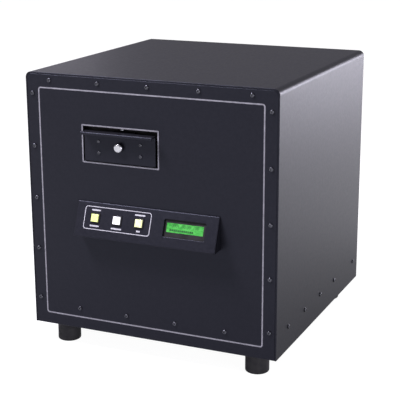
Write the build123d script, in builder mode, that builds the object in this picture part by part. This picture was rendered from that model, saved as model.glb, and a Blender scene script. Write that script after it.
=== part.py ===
from build123d import *
import os
from math import atan2, cos, hypot, radians, sin

# Hard drive degausser: a steel cabinet on four feet with a drive drawer and a sloped control console.
# Sizes are in millimetres. The origin is on the floor under the middle of the whole object.
# X runs to the right as seen from the front, Y runs from the front to the rear and Z runs up.

os.makedirs("parts", exist_ok=True)

# Cabinet shell
cabinet_width = 457.0
cabinet_height = 450.0
cabinet_depth = 460.0
cover_sheet = 2.5
cover_bend_radius = 10.0
panel_thickness = 3.0
panel_gap = 0.3
panel_edge_chamfer = 0.6
pan_sheet = 2.5
pan_flange_height = 58.0
frame_sheet = 2.0
frame_face_width = 22.0
frame_lip_depth = 25.0
frame_corner_radius = 5.0
cut_overrun = 1.0
hole_clearance = 0.2
fit_gap = 0.3
hex_sides = 6

# Feet and their bolts
foot_radius = 20.5
foot_height = 38.0
foot_edge_radius = 3.0
foot_side_inset = 46.5
foot_end_inset = 36.0
foot_recess_radius = 9.0
foot_recess_depth = 16.0
foot_bolt_radius = 4.0
foot_bolt_head_radius = 7.0
foot_bolt_head_height = 5.3
foot_nut_height = 6.5
foot_bolt_tip = 3.0

# Panel screws, with the places of their rows
screw_radius = 2.0
screw_head_radius = 3.6
screw_head_height = 2.2
screw_head_rounding_share = 0.55
screw_socket_radius = 1.6
screw_socket_depth = 1.3
screw_tip_length = 4.0
screw_edge_inset = 12.5
screw_row_end_inset = 45.5
screw_row_count = 5
screw_column_top_drop = 36.0
screw_column_last_height = 48.0
screw_column_count = 5
screw_bottom_row_height = 37.3
side_screw_height = 40.0
side_screw_depth_shares = (0.126, 0.310, 0.493, 0.675, 0.935)

# Drive drawer
drive_length = 147.0
drive_width = 101.6
drive_height = 26.1
drive_clearance = 1.2
drawer_x = -51.3
drawer_drop = 3.5
opening_width = 138.0
opening_height = 60.0
opening_drop = 115.2
opening_corner_radius = 3.0
drawer_front_width = 131.4
drawer_front_top_gap = 6.8
drawer_front_bottom_gap = 1.5
drawer_front_sheet = 3.0
drawer_front_proud = 1.5
lip_reach = 16.0
lip_sheet = 2.5
lip_edge_height = 5.0
lip_rounding_share = 0.45
tab_reach = 15.0
tab_root_width = 51.0
tab_end_width = 40.0
tray_side_wall = 4.0
tray_floor = 4.0
tray_front_wall = 10.0
tray_rear_wall = 6.0
tray_tail_length = 94.0
tray_tail_thickness = 12.0
tray_rim_height = 1.4
pocket_corner_radius = 2.0
runner_depth = 4.0
runner_height = 6.0
drawer_screw_pitch_x = 78.0
drawer_screw_pitch_z = 19.5
drawer_screw_radius = 1.5
drawer_screw_head_radius = 2.8
drawer_screw_head_height = 1.6
drawer_screw_grip = 6.0
drawer_screw_socket_depth = 1.0
screw_play = 0.1
knob_radius = 7.8
knob_head_height = 5.5
knob_neck_radius = 4.5
knob_neck_length = 2.5
knob_stud_radius = 2.5
knob_stud_length = 9.0
knob_crown_share = 0.6
knob_raise = 2.5

# Guides, coil and the shelf that carries them
guide_gap = 0.4
guide_web = 3.0
guide_height = 18.0
guide_start = 21.0
guide_length = 280.0
guide_bracket_sheet = 3.0
guide_bracket_foot = 22.0
guide_bracket_side_margin = 8.0
coil_start = 26.0
bore_headroom = 3.5
former_wall = 3.0
former_flange_thickness = 5.0
former_flange_reach = 19.0
winding_length = 112.0
winding_thickness = 22.0
winding_gap = 0.2
clamp_thickness = 5.0
clamp_margin = 12.0
tie_rod_radius = 4.0
tie_rod_inset = 8.0
tie_nut_radius = 7.5
tie_nut_height = 6.5
tie_rod_tip = 2.0
coil_corner_radius = 12.0
shelf_sheet = 3.0
shelf_side_margin = 4.0
shelf_front_margin = 2.0
shelf_rear_margin = 14.0
shelf_leg_width = 30.0
shelf_leg_front_offset = 24.0
shelf_foot_reach = 16.0

# Drawer lock
solenoid_depth = 13.0
solenoid_width = 20.0
solenoid_length = 32.0
solenoid_corner_radius = 1.5
ear_height_share = 0.6
solenoid_ear_width = 9.0
solenoid_ear_thickness = 2.0
solenoid_lift = 5.5
plunger_radius = 3.0
plunger_running_gap = 0.05
plunger_head_radius = 4.5
plunger_head_height = 2.0
plunger_tip_gap = 2.0
plunger_tip_chamfer = 0.8
plunger_travel = 8.0
tab_slot_gap = 1.0

# Console
console_x = -1.5
console_width = 261.0
console_top_height = 235.0
console_height = 57.0
console_top_reach = 2.5
console_bottom_reach = 24.5
console_sheet = 2.0
console_edge_radius = 1.0
console_boss_radius = 4.5
console_boss_side_inset = 8.5
console_boss_low_rise = 13.0
console_boss_high_drop = 13.0
console_screw_radius = 1.5
console_screw_depth = 3.4
console_screw_end_gap = 0.4
pilot_play = 0.1
console_opening_side_margin = 14.0
console_opening_end_margin = 5.0
control_row_drop = 26.5

# Lamps and lamp push buttons
lamp_group_x = -52.0
lamp_pitch = 41.3
lamp_lens_side = 12.8
lamp_lens_gap = 0.2
lamp_lens_chamfer = 0.8
lamp_lens_height = 9.0
lamp_lens_proud = 2.0
lamp_wall = 1.0
lamp_flange_side = 17.0
lamp_flange_thickness = 1.2
lamp_body_depth = 24.0
lamp_travel = 2.0
lamp_travel_spare = 0.5
lamp_tag_pitch = 10.0
lamp_tag_width = 3.0
lamp_tag_thickness = 0.8
lamp_tag_length = 4.0

# Display
display_x = 71.8
display_drop = 28.0
window_width = 75.0
window_height = 29.5
window_corner_radius = 2.0
view_width = 66.0
view_height = 15.5
view_raise = 1.5
module_rim = 2.5
module_depth = 10.0
module_recess_depth = 1.0
display_board_thickness = 1.6
display_board_margin = 1.0
display_header_width = 42.0
display_header_height = 3.0
display_header_depth = 6.0

# Discharge capacitors
capacitor_side_gap = 1.5
capacitor_depth_place = 140.0
capacitor_pitch = 70.0
capacitor_radius = 32.0
capacitor_height = 130.0
capacitor_rim_radius = 2.5
capacitor_top_dish = 2.0
terminal_radius = 6.0
terminal_height = 6.0
terminal_pitch = 28.0
seat_margin = 5.0
seat_thickness = 8.0
seat_pocket_depth = 4.0
bus_bar_width = 14.0
bus_bar_thickness = 2.0
bus_bar_end = 12.0
terminal_screw_radius = 3.0
terminal_screw_head_radius = 5.0
terminal_screw_head_height = 4.0
terminal_screw_socket_radius = 2.4
terminal_screw_grip = 5.0

# Charging transformer
transformer_side_gap = 21.5
transformer_depth_place = 335.0
core_width = 96.0
core_stack = 50.0
core_height = 80.0
core_limb = 16.0
core_foot_width = 12.0
core_foot_sheet = 2.0
bobbin_gap = 0.3
bobbin_overhang = 14.0
bobbin_corner_radius = 6.0

# Thyristor and its heat sink
sink_board_gap = 8.0
sink_width = 110.0
sink_length = 80.0
sink_base = 8.0
sink_fin_height = 30.0
sink_fin_thickness = 2.5
sink_fin_count = 9
thyristor_width = 92.0
thyristor_length = 34.0
thyristor_height = 24.0
thyristor_plate = 3.0
thyristor_body_share = 0.86
thyristor_post_side = 14.0
thyristor_post_height = 6.0
thyristor_post_pitch = 24.0
thyristor_post_count = 3

# Control board
board_depth_place = 165.0
board_width = 150.0
board_length = 150.0
board_thickness = 1.6
board_corner_radius = 4.0
standoff_radius = 4.0
standoff_height = 12.0
standoff_inset = 8.0
relay_side = 24.0
relay_height = 18.0
relay_pitch = 34.0
plug_width = 90.0
plug_length = 9.0
plug_height = 11.0

# Cooling fan
fan_x = 95.0
fan_drop = 130.0
fan_side = 120.0
fan_depth = 25.0
fan_corner_radius = 6.0
fan_bore_radius = 57.0
fan_screw_pitch = 105.0
fan_hub_radius = 21.0
fan_strut_width = 5.0
fan_strut_depth = 3.0
fan_tip_gap = 2.0
fan_hub_gap = 0.3
fan_blade_count = 7
fan_blade_width = 22.0
fan_blade_thickness = 1.6
fan_blade_pitch_angle = 38.0
fan_blade_root_bite = 3.0
rotor_depth = 16.0
shaft_radius = 2.0
shaft_running_gap = 0.05
guard_wire_radius = 1.2
guard_ring_count = 4
guard_ring_first_radius = 18.0
guard_ring_bite = 0.6
guard_spoke_width = 3.0
guard_spoke_count = 4
guard_start_angle = 45.0
guard_eye_radius = 4.6

# Rear vents
vent_x = -95.0
vent_drop = 130.0
vent_count = 12
vent_pitch = 9.0
vent_length = 90.0
vent_width = 4.0

# Mains inlet with its rocker switch
inlet_side_inset = 78.5
inlet_level = 110.0
inlet_flange_width = 32.0
inlet_flange_height = 58.0
inlet_flange_thickness = 3.0
inlet_body_width = 27.0
inlet_body_height = 52.0
inlet_body_depth = 28.0
inlet_corner_radius = 2.5
socket_width = 24.0
socket_height = 17.0
socket_depth = 17.0
socket_corner_cut = 4.5
socket_drop = 11.5
blade_width = 2.0
blade_height = 4.0
blade_length = 14.0
blade_tail = 8.0
blade_pitch = 7.0
blade_offset = 2.0
rocker_raise = 12.5
rocker_width = 12.0
rocker_half_length = 9.0
rocker_side_gap = 0.3
rocker_well_half_length = 10.4
rocker_well_depth = 9.0
rocker_edge_height = 2.6
rocker_middle_height = 1.2
rocker_pivot_depth = 3.0
rocker_underside = 3.0
rocker_tilt_angle = 10.0
rocker_pin_radius = 1.0
rocker_pin_length = 1.5
rocker_pin_running_gap = 0.05

# Names for alignments and for turns of a piece that is drawn along Z
standing = (Align.CENTER, Align.CENTER, Align.MIN)
hanging = (Align.CENTER, Align.CENTER, Align.MAX)
front_turn_angle = (90, 0, 0)
rear_turn_angle = (-90, 0, 0)
right_turn_angle = (0, 90, 0)
left_turn_angle = (0, -90, 0)

# The whole object is centred on Y between what stands out of the front and out of the rear
console_bottom_height = console_top_height - console_height
slope_ratio = (console_bottom_reach - console_top_reach) / console_height
console_slope = atan2(console_bottom_reach - console_top_reach, console_height)
console_rounding_loss = console_edge_radius * (slope_ratio + 1 / cos(console_slope) - 1)
knob_reach = drawer_front_proud + knob_neck_length + knob_head_height
front_reach = max(console_bottom_reach - console_rounding_loss, lip_reach, knob_reach)
rocker_arm = rocker_edge_height + rocker_pivot_depth
rocker_lean = radians(rocker_tilt_angle)
rocker_rise = rocker_arm * cos(rocker_lean) + rocker_half_length * sin(rocker_lean)
rocker_reach = inlet_flange_thickness - rocker_pivot_depth + rocker_rise
guard_eye_thickness = 2 * guard_wire_radius
guard_ring_height = 2 * guard_wire_radius - guard_ring_bite
guard_reach = guard_eye_thickness + max(guard_ring_height, screw_head_height)
rear_reach = max(rocker_reach, guard_reach, screw_head_height)

# Main planes of the cabinet
front_y = (front_reach - rear_reach - cabinet_depth) / 2
rear_y = front_y + cabinet_depth
panel_back_y = front_y + panel_thickness
rear_panel_inner_y = rear_y - panel_thickness
floor_z = foot_height
top_z = floor_z + cabinet_height
pan_floor_z = floor_z + pan_sheet
pan_flange_z = floor_z + pan_flange_height
half_width = cabinet_width / 2
inner_half_width = half_width - cover_sheet
inner_top_z = top_z - cover_sheet
pan_length = rear_panel_inner_y - panel_back_y
pan_middle_y = (rear_panel_inner_y + panel_back_y) / 2


def front_plane(y):
    """Plane at depth y as seen from the front: its X and Y are the object's X and Z."""
    return Plane.XZ.offset(-y)


def upright_outline(half, low, high, corner):
    """Upright rectangle from low to high with its two top corners rounded."""
    with BuildSketch() as outline:
        with Locations((0, (low + high) / 2)):
            Rectangle(2 * half, high - low)
        fillet(outline.vertices().group_by(Axis.Y)[-1], corner)
    return outline.sketch


def headed_screw(shank_radius, shank_length, head_radius, head_height, socket_radius, socket_depth):
    """Screw along Z: its head stands on the origin's plane and its shank points down."""
    with BuildPart() as screw:
        Cylinder(shank_radius, shank_length, align=hanging)
        Cylinder(head_radius, head_height, align=standing)
        fillet(screw.edges().sort_by(Axis.Z)[-1], head_height * screw_head_rounding_share)
        with BuildSketch(Plane.XY.offset(head_height)):
            RegularPolygon(socket_radius, hex_sides)
        extrude(amount=-socket_depth, mode=Mode.SUBTRACT)
    return screw.part


# Places of the panel screws on the front: top row, two columns and bottom row
row_pitch = (cabinet_width - 2 * screw_row_end_inset) / (screw_row_count - 1)
column_first_height = cabinet_height - screw_column_top_drop
column_pitch = (column_first_height - screw_column_last_height) / (screw_column_count - 1)
column_x = half_width - screw_edge_inset
top_row = [
    (index * row_pitch + screw_row_end_inset - half_width, top_z - screw_edge_inset)
    for index in range(screw_row_count)
]
side_columns = [
    (side * column_x, floor_z + screw_column_last_height + index * column_pitch)
    for side in (-1, 1)
    for index in range(screw_column_count)
]
bottom_row = [
    ((index - (screw_row_count - 2) / 2) * row_pitch, floor_z + screw_bottom_row_height)
    for index in range(screw_row_count - 1)
]
panel_screw_spots = top_row + side_columns + bottom_row
front_screw_seats = [Location((x, front_y, z), front_turn_angle) for x, z in panel_screw_spots]
rear_screw_seats = [Location((x, rear_y, z), rear_turn_angle) for x, z in panel_screw_spots]
side_screw_seats = [
    Location((side * half_width, front_y + share * cabinet_depth, floor_z + side_screw_height), turn)
    for side, turn in ((-1, left_turn_angle), (1, right_turn_angle))
    for share in side_screw_depth_shares
]
screw_hole_radius = screw_radius + hole_clearance
screw_hole_span = 2 * (panel_thickness + max(pan_sheet, frame_sheet, cover_sheet) + cut_overrun)
foot_spots = {
    "front_left": (foot_side_inset - half_width, front_y + foot_end_inset),
    "front_right": (half_width - foot_side_inset, front_y + foot_end_inset),
    "rear_left": (foot_side_inset - half_width, rear_y - foot_end_inset),
    "rear_right": (half_width - foot_side_inset, rear_y - foot_end_inset),
}

# Base pan: a tray of folded sheet that carries everything
with BuildPart() as base_pan:
    with BuildSketch(Plane.XY.offset(floor_z)):
        with Locations((0, pan_middle_y)):
            Rectangle(2 * inner_half_width, pan_length)
    extrude(amount=pan_flange_height)
    with BuildSketch(Plane.XY.offset(pan_floor_z)):
        with Locations((0, pan_middle_y)):
            Rectangle(2 * (inner_half_width - pan_sheet), pan_length - 2 * pan_sheet)
    extrude(amount=pan_flange_height, mode=Mode.SUBTRACT)
    with Locations(*[(x, y, floor_z) for x, y in foot_spots.values()]):
        Cylinder(foot_bolt_radius + hole_clearance, 2 * pan_sheet + cut_overrun, mode=Mode.SUBTRACT)
    with Locations(*front_screw_seats, *rear_screw_seats, *side_screw_seats):
        Cylinder(screw_hole_radius, screw_hole_span, mode=Mode.SUBTRACT)
base_pan.part.label = "base_pan"
export_step(base_pan.part, "parts/base_pan.step")

# Cover: top and two sides folded from one sheet
cover_outline = upright_outline(half_width, floor_z, top_z, cover_bend_radius)
cover_inside = upright_outline(
    inner_half_width, floor_z - cut_overrun, inner_top_z, cover_bend_radius - cover_sheet
)
with BuildPart() as wrapper_cover:
    with BuildSketch(front_plane(front_y)):
        add(cover_outline)
        add(cover_inside, mode=Mode.SUBTRACT)
    extrude(amount=-cabinet_depth)
    with Locations(*side_screw_seats):
        Cylinder(screw_hole_radius, screw_hole_span, mode=Mode.SUBTRACT)
wrapper_cover.part.label = "wrapper_cover"
export_step(wrapper_cover.part, "parts/wrapper_cover.step")

# Feet: turned rubber cylinders with a recess for the bolt's head
for place, (x, y) in foot_spots.items():
    with BuildPart() as foot:
        with BuildSketch(Plane.XY):
            with Locations((x, y)):
                Circle(foot_radius)
        extrude(amount=foot_height)
        fillet(foot.edges().group_by(Axis.Z)[0], foot_edge_radius)
        with BuildSketch(Plane.XY):
            with Locations((x, y)):
                Circle(foot_recess_radius)
        extrude(amount=foot_recess_depth, mode=Mode.SUBTRACT)
        with BuildSketch(Plane.XY):
            with Locations((x, y)):
                Circle(foot_bolt_radius + hole_clearance)
        extrude(amount=foot_height, mode=Mode.SUBTRACT)
    foot.part.label = f"foot_{place}"
    export_step(foot.part, f"parts/foot_{place}.step")

foot_bolt_length = foot_height - foot_recess_depth + pan_sheet + foot_nut_height + foot_bolt_tip
with BuildPart() as foot_bolts:
    for x, y in foot_spots.values():
        with BuildSketch(Plane.XY.offset(foot_recess_depth)):
            with Locations((x, y)):
                RegularPolygon(foot_bolt_head_radius, hex_sides)
        extrude(amount=-foot_bolt_head_height)
        with BuildSketch(Plane.XY.offset(foot_recess_depth)):
            with Locations((x, y)):
                Circle(foot_bolt_radius)
        extrude(amount=foot_bolt_length)
        with BuildSketch(Plane.XY.offset(pan_floor_z)):
            with Locations((x, y)):
                RegularPolygon(foot_bolt_head_radius, hex_sides)
        extrude(amount=foot_nut_height)
foot_bolts.part.label = "foot_bolts"
export_step(foot_bolts.part, "parts/foot_bolts.step")

# Panel outline, the same at the front and the rear
panel_outline = upright_outline(
    inner_half_width - panel_gap,
    floor_z,
    inner_top_z - panel_gap,
    cover_bend_radius - cover_sheet - panel_gap,
)
opening_z = top_z - opening_drop
console_middle_z = floor_z + (console_top_height + console_bottom_height) / 2
console_opening_width = console_width - 2 * console_opening_side_margin
console_opening_height = console_height - 2 * console_opening_end_margin
console_boss_spots = [
    (console_x + side * (console_width / 2 - console_boss_side_inset), floor_z + height)
    for side in (-1, 1)
    for height in (
        console_bottom_height + console_boss_low_rise,
        console_top_height - console_boss_high_drop,
    )
]
console_boss_seats = [Location((x, panel_back_y, z), rear_turn_angle) for x, z in console_boss_spots]

with BuildPart() as front_panel:
    with BuildSketch(front_plane(front_y)):
        add(panel_outline)
    extrude(amount=-panel_thickness)
    chamfer(front_panel.faces().sort_by(Axis.Y)[0].edges(), panel_edge_chamfer)
    with BuildSketch(front_plane(front_y)):
        with Locations((drawer_x, opening_z)):
            RectangleRounded(opening_width, opening_height, opening_corner_radius)
        with Locations((console_x, console_middle_z)):
            Rectangle(console_opening_width, console_opening_height)
    extrude(amount=-panel_thickness, mode=Mode.SUBTRACT)
    with Locations(*front_screw_seats):
        Cylinder(screw_hole_radius, screw_hole_span, mode=Mode.SUBTRACT)
    with Locations(*console_boss_seats):
        Cylinder(console_screw_radius + hole_clearance, screw_hole_span, mode=Mode.SUBTRACT)
front_panel.part.label = "front_panel"
export_step(front_panel.part, "parts/front_panel.step")

fan_z = top_z - fan_drop
vent_z = top_z - vent_drop
inlet_x = half_width - inlet_side_inset
inlet_z = floor_z + inlet_level
fan_screw_seats = [
    Location((fan_x + sx * fan_screw_pitch / 2, rear_y, fan_z + sz * fan_screw_pitch / 2), rear_turn_angle)
    for sx in (-1, 1)
    for sz in (-1, 1)
]
inlet_cutout_width = inlet_body_width + 2 * hole_clearance
inlet_cutout_height = inlet_body_height + 2 * hole_clearance
with BuildPart() as rear_panel:
    with BuildSketch(front_plane(rear_y)):
        add(panel_outline)
    extrude(amount=panel_thickness)
    chamfer(rear_panel.faces().sort_by(Axis.Y)[-1].edges(), panel_edge_chamfer)
    with BuildSketch(front_plane(rear_y)):
        with Locations((fan_x, fan_z)):
            Circle(fan_bore_radius)
        with Locations((vent_x, vent_z)):
            with GridLocations(0, vent_pitch, 1, vent_count):
                SlotOverall(vent_length, vent_width)
        with Locations((inlet_x, inlet_z)):
            Rectangle(inlet_cutout_width, inlet_cutout_height)
    extrude(amount=panel_thickness, mode=Mode.SUBTRACT)
    with Locations(*rear_screw_seats, *fan_screw_seats):
        Cylinder(screw_hole_radius, screw_hole_span, mode=Mode.SUBTRACT)
rear_panel.part.label = "rear_panel"
export_step(rear_panel.part, "parts/rear_panel.step")

# Frames: folded arches behind the panels, standing on the pan's flanges
frame_half = inner_half_width - fit_gap
frame_top = inner_top_z - fit_gap
frame_corner = cover_bend_radius - cover_sheet - fit_gap
frame_outer = upright_outline(frame_half, pan_flange_z, frame_top, frame_corner)
frame_window = upright_outline(
    frame_half - frame_face_width,
    pan_flange_z - cut_overrun,
    frame_top - frame_face_width,
    frame_corner_radius,
)
frame_lip_inside = upright_outline(
    frame_half - frame_sheet,
    pan_flange_z - cut_overrun,
    frame_top - frame_sheet,
    frame_corner - frame_sheet,
)
frame_sides = (
    ("front_frame", panel_back_y, -1, front_screw_seats),
    ("rear_frame", rear_panel_inner_y, 1, rear_screw_seats),
)
for frame_name, seat_y, inward, seats in frame_sides:
    with BuildPart() as frame:
        with BuildSketch(front_plane(seat_y)):
            add(frame_outer)
            add(frame_window, mode=Mode.SUBTRACT)
        extrude(amount=inward * frame_sheet)
        with BuildSketch(front_plane(seat_y)):
            add(frame_outer)
            add(frame_lip_inside, mode=Mode.SUBTRACT)
        extrude(amount=inward * frame_lip_depth)
        with Locations(*seats):
            Cylinder(screw_hole_radius, screw_hole_span, mode=Mode.SUBTRACT)
    frame.part.label = frame_name
    export_step(frame.part, f"parts/{frame_name}.step")

# Screws of the panels and the cover
panel_screw_length = panel_thickness + max(pan_sheet, frame_sheet) + screw_tip_length
panel_screw = headed_screw(
    screw_radius,
    panel_screw_length,
    screw_head_radius,
    screw_head_height,
    screw_socket_radius,
    screw_socket_depth,
)
screw_groups = (
    ("front_panel_screws", front_screw_seats),
    ("rear_panel_screws", rear_screw_seats),
    ("side_panel_screws", side_screw_seats),
)
for group_name, seats in screw_groups:
    with BuildPart() as screw_group:
        with Locations(*seats):
            add(panel_screw)
    screw_group.part.label = group_name
    export_step(screw_group.part, f"parts/{group_name}.step")

# Console: a sloped wedge of folded sheet, open at the back, screwed on from behind the panel
console_face_length = console_height / cos(console_slope)
console_middle_y = front_y - (console_top_reach + console_bottom_reach) / 2
console_plane = Plane(
    origin=(console_x, console_middle_y, console_middle_z),
    x_dir=(1, 0, 0),
    z_dir=(0, -cos(console_slope), sin(console_slope)),
)
console_top_z = floor_z + console_top_height
console_bottom_z = floor_z + console_bottom_height
cavity_top_z = console_top_z - console_sheet
cavity_bottom_z = console_bottom_z + console_sheet
cavity_wall_shift = console_sheet / cos(console_slope)
cavity_top_reach = console_top_reach + console_sheet * slope_ratio - cavity_wall_shift
cavity_bottom_reach = console_bottom_reach - console_sheet * slope_ratio - cavity_wall_shift
boss_length = console_bottom_reach
with BuildPart() as console_cavity:
    with BuildSketch(Plane.YZ.offset(console_x)):
        with BuildLine():
            Polyline(
                (front_y + cut_overrun, cavity_top_z),
                (front_y - cavity_top_reach, cavity_top_z),
                (front_y - cavity_bottom_reach, cavity_bottom_z),
                (front_y + cut_overrun, cavity_bottom_z),
                close=True,
            )
        make_face()
    extrude(amount=console_width / 2 - console_sheet, both=True)
    with Locations(*[Location((x, front_y, z), front_turn_angle) for x, z in console_boss_spots]):
        Cylinder(console_boss_radius, boss_length, align=standing, mode=Mode.SUBTRACT)

row_rise = console_face_length / 2 - control_row_drop
display_rise = console_face_length / 2 - display_drop
lamp_sleeve_side = lamp_lens_side + 2 * (lamp_lens_gap + lamp_wall)
lamp_hole_side = lamp_sleeve_side + 2 * hole_clearance
lamp_names = ("start_button", "status_lamp", "power_button")
lamp_spots = [(lamp_group_x + step * lamp_pitch, row_rise) for step in (-1, 0, 1)]
with BuildPart() as console_housing:
    with BuildSketch(Plane.YZ.offset(console_x)):
        with BuildLine():
            Polyline(
                (front_y, console_top_z),
                (front_y - console_top_reach, console_top_z),
                (front_y - console_bottom_reach, console_bottom_z),
                (front_y, console_bottom_z),
                close=True,
            )
        make_face()
    extrude(amount=console_width / 2, both=True)
    fillet(console_housing.faces().filter_by(console_plane)[0].edges(), console_edge_radius)
    add(console_cavity.part, mode=Mode.SUBTRACT)
    with BuildSketch(console_plane):
        with Locations(*lamp_spots):
            Rectangle(lamp_hole_side, lamp_hole_side)
        with Locations((display_x, display_rise)):
            RectangleRounded(window_width, window_height, window_corner_radius)
    extrude(amount=-console_sheet, mode=Mode.SUBTRACT)
    with Locations(*[Location((x, front_y, z), front_turn_angle) for x, z in console_boss_spots]):
        Cylinder(console_screw_radius, console_screw_depth, align=standing, mode=Mode.SUBTRACT)
console_housing.part.label = "console_housing"
export_step(console_housing.part, "parts/console_housing.step")

console_screw = headed_screw(
    console_screw_radius - pilot_play,
    panel_thickness + console_screw_depth - console_screw_end_gap,
    drawer_screw_head_radius,
    drawer_screw_head_height,
    screw_socket_radius,
    drawer_screw_socket_depth,
)
with BuildPart() as console_screws:
    with Locations(*console_boss_seats):
        add(console_screw)
console_screws.part.label = "console_screws"
export_step(console_screws.part, "parts/console_screws.step")

# Lamp and push button bodies, their caps and the fixed lens of the status lamp
lamp_cavity_side = lamp_lens_side + 2 * lamp_lens_gap
lamp_face = lamp_flange_thickness + lamp_lens_proud
lamp_cavity_floor = lamp_face - lamp_lens_height - lamp_travel - lamp_travel_spare
for lamp_name, spot in zip(lamp_names, lamp_spots):
    with BuildPart() as lamp_body:
        with BuildSketch(console_plane):
            with Locations(spot):
                Rectangle(lamp_sleeve_side, lamp_sleeve_side)
        extrude(amount=-lamp_body_depth)
        with BuildSketch(console_plane):
            with Locations(spot):
                Rectangle(lamp_flange_side, lamp_flange_side)
        extrude(amount=lamp_flange_thickness)
        with BuildSketch(console_plane.offset(lamp_cavity_floor)):
            with Locations(spot):
                Rectangle(lamp_cavity_side, lamp_cavity_side)
        extrude(amount=lamp_face - lamp_cavity_floor, mode=Mode.SUBTRACT)
        with BuildSketch(console_plane.offset(-lamp_body_depth)):
            with Locations(spot):
                with GridLocations(lamp_tag_pitch, lamp_tag_pitch, 2, 2):
                    Rectangle(lamp_tag_width, lamp_tag_thickness)
        extrude(amount=-lamp_tag_length)
    lamp_body.part.label = f"{lamp_name}_body"
    export_step(lamp_body.part, f"parts/{lamp_name}_body.step")

for lamp_name, spot in ((lamp_names[0], lamp_spots[0]), (lamp_names[2], lamp_spots[2])):
    with BuildPart() as button_cap:
        with BuildSketch(console_plane.offset(lamp_face)):
            with Locations(spot):
                Rectangle(lamp_lens_side, lamp_lens_side)
        extrude(amount=-lamp_lens_height)
        chamfer(button_cap.faces().filter_by(console_plane).sort_by(Axis.Y)[0].edges(), lamp_lens_chamfer)
    button_cap.part.label = f"{lamp_name}_cap"
    export_step(button_cap.part, f"parts/{lamp_name}_cap.step")

with BuildPart() as status_lamp_lens:
    with BuildSketch(console_plane.offset(lamp_face)):
        with Locations(lamp_spots[1]):
            Rectangle(lamp_lens_side, lamp_lens_side)
    extrude(amount=lamp_cavity_floor - lamp_face)
    chamfer(status_lamp_lens.faces().filter_by(console_plane).sort_by(Axis.Y)[0].edges(), lamp_lens_chamfer)
status_lamp_lens.part.label = "status_lamp_lens"
export_step(status_lamp_lens.part, "parts/status_lamp_lens.step")

# Display: a black module behind the console's window, its lit cell and its board
module_spot = (display_x, display_rise)
view_spot = (display_x, display_rise + view_raise)
module_width = window_width + 2 * module_rim
module_height = window_height + 2 * module_rim
module_front = console_plane.offset(-console_sheet)
with BuildPart() as display_module:
    with BuildSketch(module_front):
        with Locations(module_spot):
            Rectangle(module_width, module_height)
    extrude(amount=-module_depth)
    with BuildSketch(module_front):
        with Locations(module_spot):
            RectangleRounded(window_width, window_height, window_corner_radius)
    extrude(amount=-module_recess_depth, mode=Mode.SUBTRACT)
    with BuildSketch(module_front):
        with Locations(view_spot):
            Rectangle(view_width, view_height)
    extrude(amount=-module_depth, mode=Mode.SUBTRACT)
display_module.part.label = "display_module"
export_step(display_module.part, "parts/display_module.step")

with BuildPart() as display_cell:
    with BuildSketch(module_front.offset(-module_recess_depth)):
        with Locations(view_spot):
            Rectangle(view_width, view_height)
    extrude(amount=module_recess_depth - module_depth)
display_cell.part.label = "display_cell"
export_step(display_cell.part, "parts/display_cell.step")

board_face = module_front.offset(-module_depth)
with BuildPart() as display_board:
    with BuildSketch(board_face):
        with Locations(module_spot):
            Rectangle(module_width + 2 * display_board_margin, module_height + 2 * display_board_margin)
    extrude(amount=-display_board_thickness)
    with BuildSketch(board_face.offset(-display_board_thickness)):
        with Locations(module_spot):
            Rectangle(display_header_width, display_header_height)
    extrude(amount=-display_header_depth)
display_board.part.label = "display_board"
export_step(display_board.part, "parts/display_board.step")

# Drawer: a folded front with its lip, the tray that holds the drive, the knob and four screws
tray_z = opening_z - drawer_drop
drawer_top_z = opening_z + opening_height / 2 - drawer_front_top_gap
drawer_bottom_z = opening_z - opening_height / 2 + drawer_front_bottom_gap
plate_front_y = front_y - drawer_front_proud
plate_back_y = plate_front_y + drawer_front_sheet
lip_front_y = front_y - lip_reach
lip_under_z = drawer_top_z - lip_sheet
plunger_y = panel_back_y + solenoid_depth / 2
tab_slot_side = 2 * (plunger_radius + tab_slot_gap)
drawer_screw_spots = [
    (drawer_x + sx * drawer_screw_pitch_x / 2, tray_z + sz * drawer_screw_pitch_z / 2)
    for sx in (-1, 1)
    for sz in (-1, 1)
]
drawer_screw_seats = [Location((x, plate_front_y, z), front_turn_angle) for x, z in drawer_screw_spots]
knob_z = tray_z + knob_raise
knob_seat = Location((drawer_x, plate_front_y, knob_z), front_turn_angle)
plate_hole_span = 2 * drawer_front_sheet + cut_overrun
with BuildPart() as drawer_front:
    with BuildSketch(Plane.YZ.offset(drawer_x)) as front_profile:
        with BuildLine():
            Polyline(
                (plate_back_y, drawer_bottom_z),
                (plate_back_y, drawer_top_z),
                (lip_front_y, drawer_top_z),
                (lip_front_y, drawer_top_z - lip_edge_height),
                (lip_front_y + lip_sheet, drawer_top_z - lip_edge_height),
                (lip_front_y + lip_sheet, lip_under_z),
                (plate_front_y, lip_under_z),
                (plate_front_y, drawer_bottom_z),
                close=True,
            )
        make_face()
        fillet(front_profile.vertices().group_by(Axis.X)[0], lip_sheet * lip_rounding_share)
    extrude(amount=drawer_front_width / 2, both=True)
    with BuildSketch(Plane.XY.offset(lip_under_z)):
        with BuildLine():
            Polyline(
                (drawer_x - tab_root_width / 2, plate_back_y),
                (drawer_x + tab_root_width / 2, plate_back_y),
                (drawer_x + tab_end_width / 2, plate_back_y + tab_reach),
                (drawer_x - tab_end_width / 2, plate_back_y + tab_reach),
                close=True,
            )
        make_face()
        with Locations((drawer_x, plunger_y)):
            Rectangle(tab_slot_side, tab_slot_side, mode=Mode.SUBTRACT)
    extrude(amount=lip_sheet)
    with Locations(*drawer_screw_seats):
        Cylinder(drawer_screw_radius + hole_clearance, plate_hole_span, mode=Mode.SUBTRACT)
    with Locations(knob_seat):
        Cylinder(knob_stud_radius + hole_clearance, plate_hole_span, mode=Mode.SUBTRACT)
drawer_front.part.label = "drawer_front"
export_step(drawer_front.part, "parts/drawer_front.step")

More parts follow.
